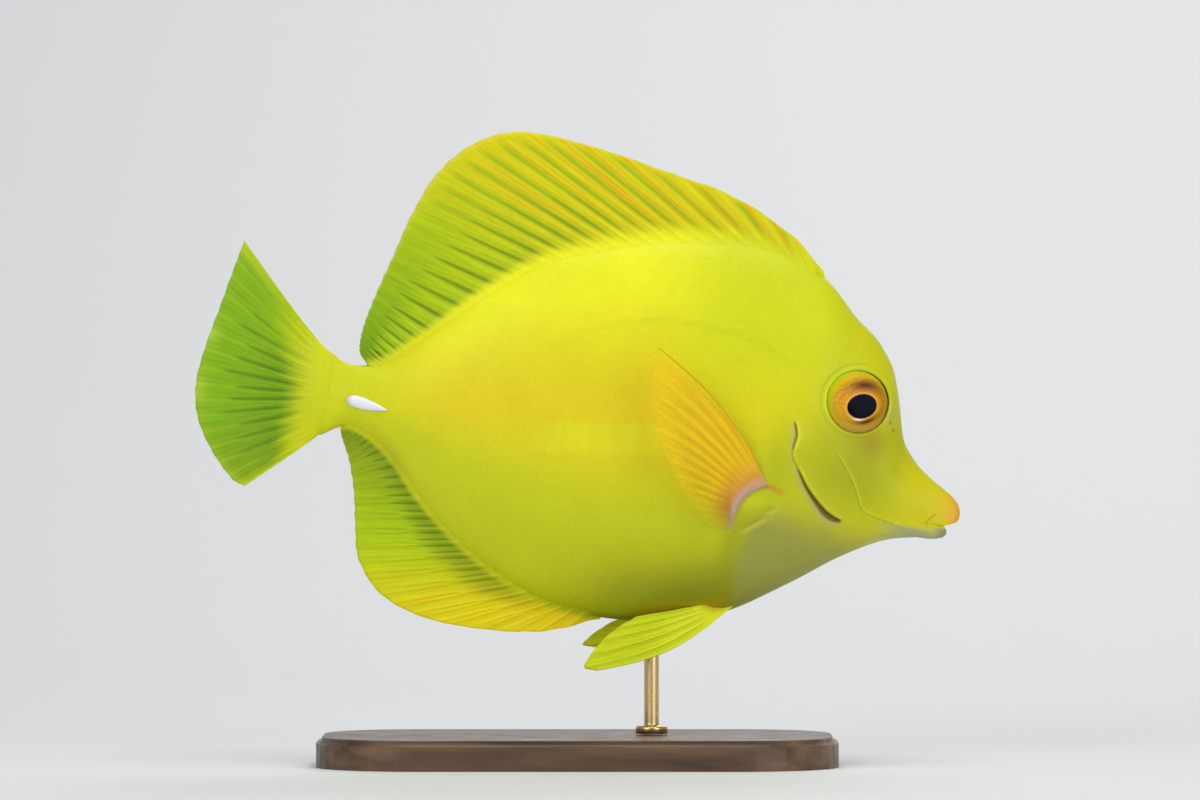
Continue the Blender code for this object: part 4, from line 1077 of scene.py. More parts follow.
def ray_net(rays, rows):
    """Shares across a fin, with columns enough for its rays, and along it, as two arrays."""
    columns = (rays - 1) * COLUMNS_PER_RAY + 1
    return np.meshgrid(np.linspace(0, 1, columns), rows, indexing="ij")


def both_faces(*arrays):
    """Arrays over a sheet's net, made flat and given twice, once for each face."""
    return [np.concatenate([a.ravel(), a.ravel()]) for a in arrays]


def along_rays(rays, distance):
    """What the fine lines of a fin follow: the number of the ray and millimetres from its root."""
    return np.stack([rays, distance, np.zeros_like(rays)], 1)


print("a sheet of 2 by 2 cells has", len(sheet(np.zeros((3, 3, 3)), np.ones(3), np.ones((3, 3)))[1]), "faces")

# %% [markdown]
# ## Dorsal and anal fins
# Both stand on the body's rim. The first rays are stiff spines whose tips poke out of the skin,
# and the others are soft rays that fork towards the edge. Between the hind rays the thin skin
# looks dark where the light shines through, in stripes that taper from the body outwards. The
# front half of the dorsal fin has fine orange streaks and the front of the anal fin is golden.

# %% Upright fins
DORSAL_GUIDES = [
    (34.2, 36.0, 42.3), (37.6, 43.6, 48.2), (43.5, 56.5, 53.6), (50.5, 70.5, 55.9),
    (58.0, 86.5, 58.0), (65.5, 100.5, 58.2), (73.0, 109.4, 54.2), (81.5, 115.6, 46.9),
    (91.0, 119.0, 38.0), (100.5, 121.2, 28.6), (109.5, 123.3, 19.6), (115.4, 124.3, 13.2),
    (118.6, 124.1, 9.0), (120.3, 122.6, 7.05),
]
ANAL_GUIDES = [
    (66.2, 66.6, -34.5), (70.2, 77.0, -39.1), (74.0, 89.0, -41.0), (79.0, 101.0, -41.0),
    (85.0, 110.4, -38.2), (91.5, 116.2, -32.3), (98.5, 118.2, -26.0), (106.0, 119.8, -19.2),
    (114.5, 121.9, -13.2), (121.0, 124.0, -9.2), (123.9, 124.9, -7.25),
]
FIN_ROWS, ROWS_TO_ROOT = 44, 1.4
ROOT_SINK = 1.7  # how deep a fin's root is set in the body
FORKS = ((0.35, 0.6), (0.65, 0.88))
FILLET_FROM, FILLET_LENGTH = 1.2, 2.2  # where in the body the fin's widening foot starts, and its fall
FIN_GREEN, FIN_YELLOW, FIN_STRIPE, FIN_GOLD = screen(
    (170, 200, 0), (218, 208, 4), (88, 118, 0), (242, 218, 8))
FIN_GAP_SHADE, FIN_MARGIN, FIN_RIM, ANAL_OLIVE = screen(
    (30, 44, 56), (126, 167, 0), (230, 206, 80), (128, 150, 0))


def steepness(line, s):
    """How much longer an upright step is than the same step square to a line at s."""
    return np.sqrt(1 + (line(s + 0.5) - line(s - 0.5)) ** 2)


def upright_fin(name, guides, line, outwards, rays, spines, crowding, paint, fade):
    """crowding says how much closer the hind rays stand; fade is how far the skin's colour runs out."""
    root_s, tip_s, tip_z = guide_curves(guides)
    w, v = ray_net(rays, np.linspace(0, 1, FIN_ROWS + 1) ** ROWS_TO_ROOT)
    u = (np.sqrt((1 - crowding) ** 2 + 4 * crowding * w) - (1 - crowding)) / (2 * crowding)
    s0 = root_s(u)
    z0 = line(s0) - outwards * ROOT_SINK * steepness(line, s0)
    s1, z1 = tip_s(u), tip_z(u)
    length = np.hypot(s1 - s0, z1 - z0)
    number, branch, off = ray_pattern(w, v, rays, spines, FORKS)
    depth = np.where(number < spines, 0.4, 0.12)
    reach = v * scallop(off, depth, length)
    middle = np.stack([mix(s0, s1, reach), np.zeros_like(u), mix(z0, z1, reach)], axis=2)
    width = mix(0.16, 0.07, v)
    stiff = np.where(number < spines, 1.25, 1.0)
    half = mix(0.2, 0.1, v) + mix(0.34, 0.12, v) * stiff * hump(branch, 0, width)
    s, z = middle[:, :, 0], middle[:, :, 2]
    rise = outwards * (z - line(s)) / steepness(line, s)
    foot = body_half(s, line(s) - outwards * FILLET_FROM * steepness(line, s))
    ends = ease(0.0, 0.05, u) * (1 - ease(0.97, 1.0, u))
    half = half * mix(1.0, ease(-FILLET_FROM, 2.0, rise), ends)
    half = half + ends * foot * np.exp(-(rise + FILLET_FROM) / FILLET_LENGTH)
    half = np.where(rise < -FILLET_FROM, np.minimum(half, body_half(s, z) - 0.03), half)
    points, faces = sheet(middle, SIDEWAYS, half)
    u, v, off, length, number, w, s, rise = both_faces(u, v, off, length, number, w, s, rise)
    colours, streak = paint(u, v, off, number)
    skin_colour = skin_paint(s, line(s) - outwards * FILLET_FROM)
    colours = coats(colours, (skin_colour, 1 - ease(0.2, mix(*fade, ease(0.3, 0.8, u)), rise)))
    attributes = {"paint": colours, "streak": streak, "scaly": 1 - ease(0.5, 3.0, rise),
                  "along": along_rays(w * rays, v * length)}
    return make_piece(name, points, faces, FIN, [name], attributes)


def spindle(off, v, low, high, width):
    """A long dark mark, widest near the body and pointed at both ends; off is the way from its middle."""
    share = np.clip((v - low) / (high - low), 0, 1)
    girth = np.sin(np.pi * share ** 0.6)
    return ease(0.0, 0.35, girth) * hump(off, 0, np.maximum(width * np.sqrt(girth), 0.04))


def dorsal_paint(u, v, off, number):
    """Yellow in front and green behind, with stripes and a few dark slits near the rear, painted shade where
    gaps between the rays show through.
    """
    between = hump(0.5 - off, 0, 0.2)
    front = window(u, 0.04, 0.12, 0.5, 0.75)
    behind = ease(0.35, 0.85, u)
    stripe = spindle(0.5 - off, v, 0.05, mix(0.56, 0.84, behind) + 0.05 * np.sin(number * 2.3), 0.13)
    slit = spindle(0.5 - off, v, 0.26, 0.64, 0.18)
    paint = coats(
        np.tile(FIN_YELLOW, (len(u), 1)),
        (FIN_GREEN, ease(0.38, 0.8, u) * ease(0.05, 0.25, v)),
        (FIN_MARGIN, 0.75 * between * front * window(v, 0.08, 0.3, 0.85, 1.0)),
        (FIN_MARGIN, ease(0.5, 0.88, u) * ease(0.4, 0.8, v)),
        (FIN_STRIPE, stripe * mix(0.3, 0.9, behind) * window(u, 0.3, 0.5, 0.98, 1.0)),
        # painted shade: dark slits where gaps between the rear rays show through
        (FIN_GAP_SHADE, slit * window(u, 0.855, 0.87, 0.95, 0.965)),
        (FIN_RIM, 0.6 * ease(0.985, 1.0, v) * (1 - ease(0.6, 0.9, u))))
    streak = 0.8 * window(u, 0.02, 0.10, 0.36, 0.62) * window(v, 0.15, 0.5, 0.97, 1.0)
    return paint, streak


def anal_paint(u, v, off, number):
    """Golden in front and olive behind, with a short dark stripe on each side of a ray."""
    far = mix(0.4, 0.66, ease(0.4, 0.9, u)) + 0.05 * np.sin(number * 1.9)
    stripe = spindle(0.25 - off, v, 0.03, far, 0.08)
    paint = coats(
        np.tile(FIN_YELLOW, (len(u), 1)),
        (FIN_GREEN, ease(0.15, 0.6, u) * ease(0.0, 0.2, v)),
        (FIN_GOLD, 0.8 * (1 - ease(0.2, 0.6, u))),
        (ANAL_OLIVE, 0.8 * ease(0.5, 0.9, u)),
        (ANAL_OLIVE, 0.5 * window(v, 0.05, 0.12, 0.25, 0.5) * ease(0.15, 0.4, u)),
        (FIN_STRIPE, 0.8 * stripe * ease(0.1, 0.6, u) * (1 - ease(0.96, 1.0, u))))
    streak = 0.3 * (1 - ease(0.3, 0.6, u)) * window(v, 0.2, 0.4, 0.97, 1.0)
    return paint, streak


upright_fin("dorsal_fin", DORSAL_GUIDES, back, 1, 34, 5, 0.6, dorsal_paint, (4.5, 2.2))
upright_fin("anal_fin", ANAL_GUIDES, belly, -1, 23, 3, 0.2, anal_paint, (1.6, 1.4))

# %% [markdown]
# ## Tail fin
# The tail's rays spread from the end of the stem like the ribs of a fan and fork twice. Yellow
# skin with scales runs out onto their roots, and beyond it the skin between the middle rays shows
# dark green wedges. The two outer edges are stiff and yellow.

# %% Tail fin
CAUDAL_GUIDES = [  # share of the root line up from the belly, and (s, z) of the tip
    (0.0, 141.5, -22.0), (0.1, 144.4, -21.0), (0.22, 149.4, -16.2), (0.38, 153.4, -10.2),
    (0.5, 155.0, -3.6), (0.62, 154.5, 4.2), (0.78, 153.2, 12.2), (0.9, 151.9, 20.4),
    (1.0, 150.9, 26.2),
]
CAUDAL_BOW = (0.2, -0.9)
STEM_OVERLAP = (0.2, 0.13, 0.06)  # how far before its root line the fin's first rows lie in the stem
STEM_SINK, STEM_LIFT = 0.12, 0.03  # how deep the first row lies, and how far the fin stands out at the line
STEM_TAPER = 0.05  # how fast the foot thins, as a share for each millimetre
CAUDAL_RAYS, CAUDAL_ROOT_LINE, CAUDAL_FORKS = 18, 12.0, ((0.2, 0.5), (0.5, 0.8))
CAUDAL_GREEN, CAUDAL_WEDGE, CAUDAL_PALE, CAUDAL_LOWER, CAUDAL_EDGE = screen(
    (122, 171, 4), (72, 108, 0), (196, 220, 70), (100, 134, 0), (186, 204, 20))


def caudal_paint(u, v, off, s, skin_colour):
    """Green with dark wedges between the middle rays, yellow edges, and the stem's colour at its root."""
    wedge = spindle(0.5 - off, v, 0.17, 0.8 + 0.08 * np.sin(u * 71.0), 0.19)
    hair = 0.5 + 0.5 * np.sin(u * (CAUDAL_RAYS - 1) * 2 * np.pi * 3)
    bare = ease(132.5, 138.0 + 6.0 * ease(0.5, 0.9, u), s + 0.6 * np.sin(u * 60.0))
    return coats(
        np.tile(CAUDAL_GREEN, (len(u), 1)),
        (FIN_GREEN, 0.5 * (1 - ease(0.05, 0.3, u))),
        (CAUDAL_WEDGE, 0.85 * window(u, 0.06, 0.2, 0.75, 0.92) * wedge),
        (CAUDAL_LOWER, 0.5 * (1 - ease(0.15, 0.42, u)) * window(v, 0.3, 0.5, 0.9, 1.0)),
        (CAUDAL_PALE, 0.4 * ease(0.86, 1.0, v) * (0.1 + hump(u, 0.48, 0.05) + hump(u, 0.66, 0.03))),
        (CAUDAL_EDGE, 0.8 * (1 - ease(0.0, 0.09, np.minimum(u, 1 - u)))),
        (CAUDAL_PALE, 0.12 * hair * window(v, 0.4, 0.6, 1.0, 1.1)),
        (FIN_GREEN, 0.4 * ease(0.6, 0.92, u) * (1 - ease(0.45, 0.8, v))),
        (STEM_GREEN, 1 - bare),
        (skin_colour, 1 - ease(129.0, 134.0, s)))


def caudal_fin():
    share_curve, tip_s, tip_z = guide_curves(CAUDAL_GUIDES)
    rows = np.concatenate([np.zeros(len(STEM_OVERLAP)), np.linspace(0, 1, FIN_ROWS + 1)])
    before = np.concatenate([STEM_OVERLAP, np.zeros(FIN_ROWS + 1)])
    u, v = ray_net(CAUDAL_RAYS, rows)
    root_s, root_z = line_point(CAUDAL_ROOT_LINE - before, share_curve(u))
    s1, z1 = tip_s(u), tip_z(u)
    length = np.hypot(s1 - root_s, z1 - root_z)
    branch, off = ray_pattern(u, v, CAUDAL_RAYS, 0, CAUDAL_FORKS)[1:]
    reach = v * scallop(off, 0.1, length)
    bow = CAUDAL_BOW[0] * (1 - u) ** 3 - CAUDAL_BOW[1] * u ** 3
    s, z = mix(root_s, s1, reach), mix(root_z, z1, reach) - bow * np.sin(np.pi * v ** 0.6)
    half = mix(0.22, 0.1, v) + mix(0.34, 0.13, v) * hump(branch, 0, mix(0.16, 0.07, v))
    half = half + 0.25 * (1 - ease(0.0, 0.03, np.minimum(u, 1 - u))) * (1 - v)
    foot = body_half(root_s, root_z) * np.exp(-STEM_TAPER * reach * length)
    foot = foot + STEM_LIFT - STEM_SINK * before / STEM_OVERLAP[0]
    half = mix(foot, half, ease(0.06, 0.34, v))
    points, faces = sheet(np.stack([s, np.zeros_like(s), z], 2), SIDEWAYS, half)
    u, v, off, s, length, root_s, root_z = both_faces(u, v, off, s, length, root_s, root_z)
    attributes = {"paint": caudal_paint(u, v, off, s, skin_paint(root_s, root_z)),
                  "scaly": 1 - ease(132.0, 138.5, s), "along": along_rays(u * CAUDAL_RAYS, v * length)}
    return make_piece("caudal_fin", points, faces, FIN, ["caudal_fin"], attributes)


caudal_fin()

# %% [markdown]
# ## Paired fins
# The pectoral fins row the fish along. Each is a fan of fifteen rays on a short fleshy root, so
# thin that the yellow flank shines through its orange skin. The pelvic fins hang under the breast,
# bright yellow-green, and the far one is held a little higher. Both kinds are one net of points
# that fans out from a root line, and the thickness is laid on along the net's own normals.

# %% Fan helper
PECTORAL_TIPS = [
    (65.6, 20.9, 6.6), (68.1, 17.6, 7.4), (67.7, 11.6, 8.0), (65.8, 5.6, 8.4), (63.0, 0.4, 8.2),
    (59.6, -4.4, 7.5), (55.8, -8.0, 6.4), (51.6, -10.6, 5.2), (48.2, -12.4, 4.2),
]
PELVIC_TIPS = [
    (65.4, -44.5, 8.2), (67.9, -44.4, 8.2), (67.4, -42.0, 7.8), (65.9, -39.2, 7.2),
    (64.2, -36.8, 6.6), (61.8, -34.4, 6.0), (59.6, -32.6, 5.4),
]
FAN_ROWS = 34


def fan(roots, tips, rays, bow, sweep, side, forks, thin_half, ray_half):
    """A fin from root points (u) to tips (u), bent outwards, with its first rays bent forwards."""
    u, v = ray_net(rays, np.linspace(0, 1, FAN_ROWS + 1))
    root, tip = roots(u), tips(u)
    span = tip - root
    length = np.linalg.norm(span, axis=2)
    along = span / length[:, :, None]
    upwards = tip - tip[-1, 0]
    forwards = upwards - along * np.sum(upwards * along, axis=2)[:, :, None]
    size = np.linalg.norm(forwards, axis=2)
    forwards = forwards / np.maximum(size, 1e-6)[:, :, None] * (sweep * (1 - u) ** 2)[:, :, None]
    branch, off = ray_pattern(u, v, rays, 1, forks)[1:]
    reach = v * scallop(off, 0.12, length)
    arch = np.sin(np.pi * reach)[:, :, None]
    middle = root + span * reach[:, :, None] + forwards * arch
    middle[:, :, 1] += side * bow * arch[:, :, 0]
    du, dv = np.gradient(middle, axis=0), np.gradient(middle, axis=1)
    normal = np.cross(dv, du)
    normal /= np.maximum(np.linalg.norm(normal, axis=2), 1e-9)[:, :, None]
    outer = np.where(normal[:, :, 1:2] * side < 0, -normal, normal)
    half = mix(*thin_half, v) + ease(0.04, 0.3, v) * mix(*ray_half, v) * hump(branch, 0, mix(0.2, 0.08, v))
    half = half + 0.25 * (1 - ease(0.0, 0.1, v))
    points, faces = sheet(middle, outer, half)
    return points, faces, both_faces(u, v, off, length)


print("a fan of one ray fewer is", COLUMNS_PER_RAY, "columns narrower")

# %% Pectoral fins
PECTORAL = fish_material(
    "tang_pectoral", (0.85, 0.52, 0.06), [(5.0, 0.06)], (0.35, 0.5), 0.5, 0.02, 0.0, grain=0.5,
    Coat_Weight=0.05, Coat_Roughness=0.25, Specular_IOR_Level=0.2)
PECTORAL.node_tree.links.new(attribute(PECTORAL.node_tree, "cover", "Fac"),
                             PECTORAL.node_tree.nodes["Principled BSDF"].inputs["Alpha"])
PECTORAL_RAYS, PECTORAL_FORKS = 15, ((0.4, 0.65), (0.7, 0.9))
PEC_ORANGE, PEC_YELLOW, PEC_PINK, PEC_ROOT, PEC_EDGE = screen(
    (252, 206, 12), (248, 232, 20), (206, 172, 168), (222, 152, 60), (186, 112, 10))


def pectoral_cover(u, v, off, from_root, line):
    """How much of the flank the fin hides: thinner towards its lower rays and its edge."""
    cover = mix(0.78, 0.36, ease(0.2, 0.7, v)) + 0.12 * hump(off, 0, 0.2)
    cover = cover * (1 - 0.8 * ease(0.45, 1.0, u)) * (1 - ease(0.76, 0.92, v - 0.08 * np.cos(3.0 * u)))
    strip = ease(0.004, 0.01, u) * (1 - ease(0.02, 0.045, u)) * ease(0.3, 0.6, v)
    cover = cover * (1 - 0.6 * strip) + 0.5 * (1 - ease(0.06, 0.2, v))
    return np.clip((np.clip(cover, 0.07, 1.0) + line) * ease(0.0, 1.5, from_root), 0.0, 1.0)


def pectoral_fin(side, name):
    tip_s, tip_z, tip_out = guide_curves(PECTORAL_TIPS)

    def roots(u):
        s = mix(PECTORAL_TOP[0], PECTORAL_BOTTOM[0], u) + PECTORAL_BOW[0] * np.sin(np.pi * u)
        z = mix(PECTORAL_TOP[1], PECTORAL_BOTTOM[1], u) + PECTORAL_BOW[1] * np.sin(np.pi * u)
        return np.stack([s, side * (body_half(s, z) - 0.1), z], axis=2)

    def tips(u):
        return np.stack([tip_s(u), roots(u)[:, :, 1] + side * (tip_out(u) + 0.3), tip_z(u)], axis=2)

    points, faces, (u, v, off, length) = fan(
        roots, tips, PECTORAL_RAYS, 1.8, 2.6, side, PECTORAL_FORKS, (0.16, 0.07), (0.2, 0.07))
    from_root = v * length
    yellow = hump(off, 0, 0.14) * window(v, 0.2, 0.4, 0.8, 0.95)
    line = 0.8 * (1 - ease(0.001, 0.006, u)) * ease(0.06, 0.2, v)
    paint = coats(
        np.tile(PEC_ORANGE, (len(u), 1)),
        (PEC_YELLOW, 0.65 * yellow * window(u, 0.04, 0.2, 0.9, 1.0) + 0.3 * ease(0.5, 1.0, u)),
        (PEC_EDGE, 0.28 * hump(0.5 - off, 0, 0.16) * window(v, 0.12, 0.25, 0.6, 0.8)),
        (PEC_ROOT, 1 - ease(2.0, 8.0, from_root)),
        (PEC_EDGE, line),
        (PEC_PINK, 0.9 * window(from_root, 0.2, 0.7, 1.1, 2.8)))
    attributes = {"paint": paint, "scaly": np.zeros_like(u),
                  "cover": pectoral_cover(u, v, off, from_root, line),
                  "along": along_rays(u * PECTORAL_RAYS, from_root)}
    return make_piece(name, points, faces, PECTORAL, [name], attributes)


for side, word in SIDES:
    pectoral_fin(side, f"pectoral_fin_{word}")

# %% Pelvic fins
PELVIC_FRONT, PELVIC_REAR, PELVIC_ROOT_Y, PELVIC_ROOT_SPREAD = 41.0, 46.8, 1.0, 2.4
PELVIC_RAYS, PELVIC_FORKS = 6, ((0.2, 0.45), (0.5, 0.75))
LEFT_RAISE, LEFT_REST, LEFT_SHIFT = math.radians(9.0), 0.65, -1.0
PEL_YELLOW, PEL_OUTER, PEL_SKIN, PEL_HIGHLIGHT, PEL_ROOT = screen(
    (236, 244, 24), (196, 214, 8), (184, 200, 10), (232, 238, 50), (206, 170, 8))


def belly_height(s, y):
    """Height on the underside where the body is y thick to one side."""
    low, high = belly(s), belly(s) + 12.0
    for _ in range(30):
        middle = (low + high) / 2
        wide = body_half(s, middle) > y
        low, high = np.where(wide, low, middle), np.where(wide, middle, high)
    return high


def pelvic_fin(side, name):
    tip_s, tip_z, tip_out = guide_curves(PELVIC_TIPS)
    raise_by, shift = (LEFT_RAISE, LEFT_SHIFT) if side > 0 else (0.0, 0.0)
    hinge_z = belly(PELVIC_FRONT)

    def roots(u):
        y = PELVIC_ROOT_Y + PELVIC_ROOT_SPREAD * u
        s = mix(PELVIC_FRONT, PELVIC_REAR, u)
        return np.stack([s, side * y, belly_height(s, y) + 0.5], axis=2)

    def tips(u):
        turn = raise_by * (1 - LEFT_REST * u)
        ds, dz = tip_s(u) - PELVIC_FRONT, tip_z(u) - hinge_z
        return np.stack([PELVIC_FRONT + ds * np.cos(turn) - dz * np.sin(turn) + shift, side * tip_out(u),
                         hinge_z + ds * np.sin(turn) + dz * np.cos(turn)], axis=2)

    points, faces, (u, v, off, length) = fan(
        roots, tips, PELVIC_RAYS, 0.8, 2.6, side, PELVIC_FORKS, (0.24, 0.09), (0.34, 0.12))
    paint = coats(
        np.tile(PEL_YELLOW, (len(u), 1)),
        (PEL_OUTER, 0.6 * ease(0.25, 0.7, v)),
        (PEL_SKIN, 0.6 * (1 - hump(off, 0, 0.2)) * ease(0.1, 0.3, v)),
        # painted highlight on the middle of the fin
        (PEL_HIGHLIGHT, 0.6 * hump(v, 0.3, 0.2) * hump(u, 0.6, 0.3)),
        (PEL_ROOT, 0.7 * (1 - ease(0.0, 0.12, v)) * ease(0.1, 0.4, u)))
    attributes = {"paint": paint, "scaly": 1 - ease(0.02, 0.08, v),
                  "along": along_rays(u * PELVIC_RAYS, v * length)}
    return make_piece(name, points, faces, FIN, [name], attributes)


for side, word in SIDES:
    pelvic_fin(side, f"pelvic_fin_{word}")

# %% [markdown]
# ## Eyes
# The eyeball is a lens with a golden iris round a dark oval pupil that points a little forward and
# down. Its markings depend only on the distance from the centre and on the direction, so they are
# painted by functions on a fine turned dome. A clear cornea lies over it. Real glass would need
# light to bend twice to reach the iris, so the cornea is mostly see-through instead and shows
# itself by its reflections, stronger at a grazing angle, as glass does.

# %% Round shapes


def round_angles(count):
    return np.arange(count) * 2 * math.pi / count


def ring_faces(rings, around):
    """The faces between rings of points that are numbered on from ring to ring."""
    return [[k * around + i, k * around + (i + 1) % around,
             (k + 1) * around + (i + 1) % around, (k + 1) * around + i]
            for k in range(rings - 1) for i in range(around)]


def tube_faces(rings, around):
    """The two ends of a tube and the faces between its rings."""
    last = rings * around - 1
    return [list(range(around)), list(range(last, last - around, -1))] + ring_faces(rings, around)


print("a tube of 3 rings of 8 points has", len(tube_faces(3, 8)), "faces")

# %% Eyes
EYE_RADIUS, EYE_BULGE, EYE_SINK, EYE_DEPTH = 6.55, 4.0, 1.8, 4.6
EYE_TURNS, EYE_RINGS = 160, 70
CORNEA_TURNS, CORNEA_RINGS = 64, 24
CORNEA_GAP, CORNEA_RISE = 0.1, 0.12  # how far it stands off the eyeball at its rim and at its top
CORNEA_COVER = 0.06  # how much of the iris it hides where it is seen at a grazing angle
EYE_FULLNESS = 2.8  # 2 is an ellipse, more is fuller towards its edge
PUPIL_AT, PUPIL_HALF, PUPIL_TILT = (0.56, -1.05), (3.15, 2.45), math.radians(24.0)


def dome(radius, bulge, back_y, rings, turns):
    """Points and faces of a lens with a flat back, about +Y; x is forwards and z is up."""
    angle = np.linspace(0, math.pi / 2, rings + 1)[:-1]
    r = np.concatenate([[radius], radius * np.cos(angle) ** (2 / EYE_FULLNESS)])
    y = np.concatenate([[back_y], bulge * np.sin(angle) ** (2 / EYE_FULLNESS)])
    turn = round_angles(turns)
    points = np.stack([np.outer(r, np.cos(turn)), np.repeat(y[:, None], turns, 1),
                       np.outer(r, np.sin(turn))], 2).reshape(-1, 3)
    points = np.concatenate([points, [[0, bulge, 0], [0, back_y, 0]]])
    top, front, rear = (len(r) - 1) * turns, len(points) - 2, len(points) - 1
    faces = ring_faces(len(r), turns)
    faces += [[top + i, top + (i + 1) % turns, front] for i in range(turns)]
    faces += [[i, rear, (i + 1) % turns] for i in range(turns)]
    return points, faces


def aimed(points, side, inwards):
    """A piece made about +Y put on the eye's axis of sight, as (s, y, z)."""
    turned = points * np.array([1.0, side, 1.0])
    turn = (Matrix.Rotation(-side * EYE_FORWARD, 3, "Z") @ Matrix.Rotation(side * EYE_UP, 3, "X"))
    placed = turned @ np.array(turn).T
    sight = np.array(turn @ Vector((0.0, side, 0.0)))
    placed = placed - sight * inwards
    return np.stack([EYE_S - placed[:, 0], side * ORBIT_Y + placed[:, 1], EYE_Z + placed[:, 2]], axis=1)


print("the eye looks", round(math.degrees(EYE_FORWARD)), "degrees forwards")

# %% Iris
IRIS_GOLD, IRIS_OUTER, IRIS_ORANGE, IRIS_PEACH, IRIS_OLIVE, IRIS_ARC, IRIS_BROWN = screen(
    (230, 164, 24), (226, 178, 26), (246, 160, 50), (238, 176, 90), (178, 134, 12), (250, 204, 60),
    (150, 96, 10))
IRIS_DUSK, IRIS_SHADE, IRIS_THREAD, IRIS_SAND, IRIS_GREEN = screen(
    (94, 48, 46), (76, 38, 4), (150, 86, 14), (188, 146, 84), (188, 200, 16))
PUPIL_EDGE, PUPIL_REFLECTION, PUPIL_BLACK = screen((240, 196, 140), (255, 246, 236), (6, 4, 22))


def iris_paint(x, z):
    """Colours by place on the eye, x forwards and z up from its centre."""
    px, pz = x - PUPIL_AT[0], z - PUPIL_AT[1]
    turned_x = px * math.cos(PUPIL_TILT) + pz * math.sin(PUPIL_TILT)
    turned_z = pz * math.cos(PUPIL_TILT) - px * math.sin(PUPIL_TILT)
    pupil = np.hypot(turned_x / PUPIL_HALF[0], turned_z / PUPIL_HALF[1])
    angle = np.arctan2(pz, px)
    r = np.hypot(x, z)
    round_eye = np.arctan2(z, x)
    arcs = 0.5 + 0.5 * np.sin(pupil * 15 + 2.5 * np.sin(angle * 3 + 1.0) + 1.2 * np.sin(angle * 11))
    threads = 0.5 + 0.5 * np.sin(angle * 46 + 3 * np.sin(angle * 7))
    lit = toward(angle, 2.6, 1.3)
    return coats(
        np.tile(IRIS_GOLD, (len(x), 1)),
        (IRIS_OUTER, ease(3.6, 4.8, r)),
        (IRIS_ORANGE, 0.8 * hump(pupil, 1.35, 0.25) * toward(angle, 2.7, 0.9)),
        (IRIS_PEACH, 0.7 * hump(pupil, 1.7, 0.14) * toward(angle, 2.35, 0.6)),
        (IRIS_OLIVE, 0.8 * toward(angle, 0.0, 0.7) * ease(1.1, 1.5, pupil)),
        (IRIS_ARC, 0.25 * arcs * window(pupil, 1.15, 1.4, 2.1, 2.6) * lit),
        (IRIS_BROWN, 0.2 * (1 - arcs) * window(pupil, 1.2, 1.5, 2.1, 2.5)),
        (IRIS_DUSK, hump(pupil, 1.7, 0.46) * toward(angle, 1.56, 0.8)),
        (IRIS_SHADE, hump(pupil, 1.3, 0.22) * toward(angle, -1.1, 0.85)),
        (IRIS_THREAD, 0.25 * threads * window(pupil, 1.1, 1.3, 1.9, 2.3)),
        (IRIS_SAND, 0.8 * ease(4.6, 5.6, r) * toward(round_eye, -1.35, 0.9)),
        (IRIS_GREEN, ease(4.9, 5.7, r) * toward(round_eye, 2.4, 1.2)),
        (RING_LINE, 0.9 * ease(6.2, 6.4, r)),
        (PUPIL_EDGE, hump(pupil, 1.05, 0.035) * (0.3 + 0.7 * lit)),
        # painted reflection: a white crescent at the bottom of the pupil
        (PUPIL_REFLECTION, hump(pupil, 1.09, 0.07) * toward(angle, -1.66, 0.38)),
        (PUPIL_BLACK, 1 - ease(0.97, 1.01, pupil)))


EYE = hard_material("tang_eye", (0.62, 0.33, 0.04), (0.5, 0.10), (1.0, 0.2, 0.35),
                    Coat_Weight=0.05, Coat_Roughness=0.03, Specular_IOR_Level=0.02)
CORNEA, cornea_tree, cornea_shader = new_material("tang_cornea", (1.0, 1.0, 1.0), Roughness=0.03)
grazing = add_node(cornea_tree, "ShaderNodeLayerWeight", {"Blend": 0.25}).outputs["Fresnel"]
cornea_alpha = maths(cornea_tree, "MULTIPLY_ADD", grazing, CORNEA_COVER, 0.0)
cornea_tree.links.new(cornea_alpha, cornea_shader.inputs["Alpha"])

for side, word in SIDES:
    points, faces = dome(EYE_RADIUS - CORNEA_GAP, EYE_BULGE - CORNEA_RISE, EYE_SINK - EYE_DEPTH,
                         EYE_RINGS, EYE_TURNS)
    make_piece(f"eyeball_{word}", aimed(points, side, EYE_SINK), faces, EYE, [f"eye_{word}"],
               {"paint": iris_paint(points[:, 0], points[:, 2])})
    points, faces = dome(EYE_RADIUS, EYE_BULGE, 0.0, CORNEA_RINGS, CORNEA_TURNS)
    make_piece(f"cornea_{word}", aimed(points, side, EYE_SINK), faces, CORNEA, [])

# %% [markdown]
# ## Tail spines
# A surgeonfish is named for the blade that folds into a groove on each side of its tail stem. Here
# it is folded, white and smooth as ivory, blunt at its hinge and pointed forwards. It is lofted
# through oval sections.

# %% Tail spines
TANG_BACK, TANG_TIP = (124.6, -1.0), (116.2, -1.7)
TANG_PROFILE = smooth_curve([(0.0, 0.3), (0.06, 0.72), (0.2, 0.98), (0.4, 1.0), (0.6, 0.8), (0.8, 0.5),
                             (0.94, 0.2), (1.0, 0.04)])
TANG_SECTIONS, TANG_AROUND = 40, 24
TANG_HALF_OUT, TANG_HALF_UP, TANG_PROUD = 0.85, 1.2, 0.22
BONE_WHITE, BONE_HINGE = screen((236, 238, 250), (206, 206, 232))
BONE = hard_material("tang_bone", (0.85, 0.87, 0.93), (1.2, 0.06), (1.5, 0.25, 0.4), Coat_Weight=0.5,
                     Coat_Roughness=0.15, Subsurface_Weight=0.2, Subsurface_Scale=0.0008)


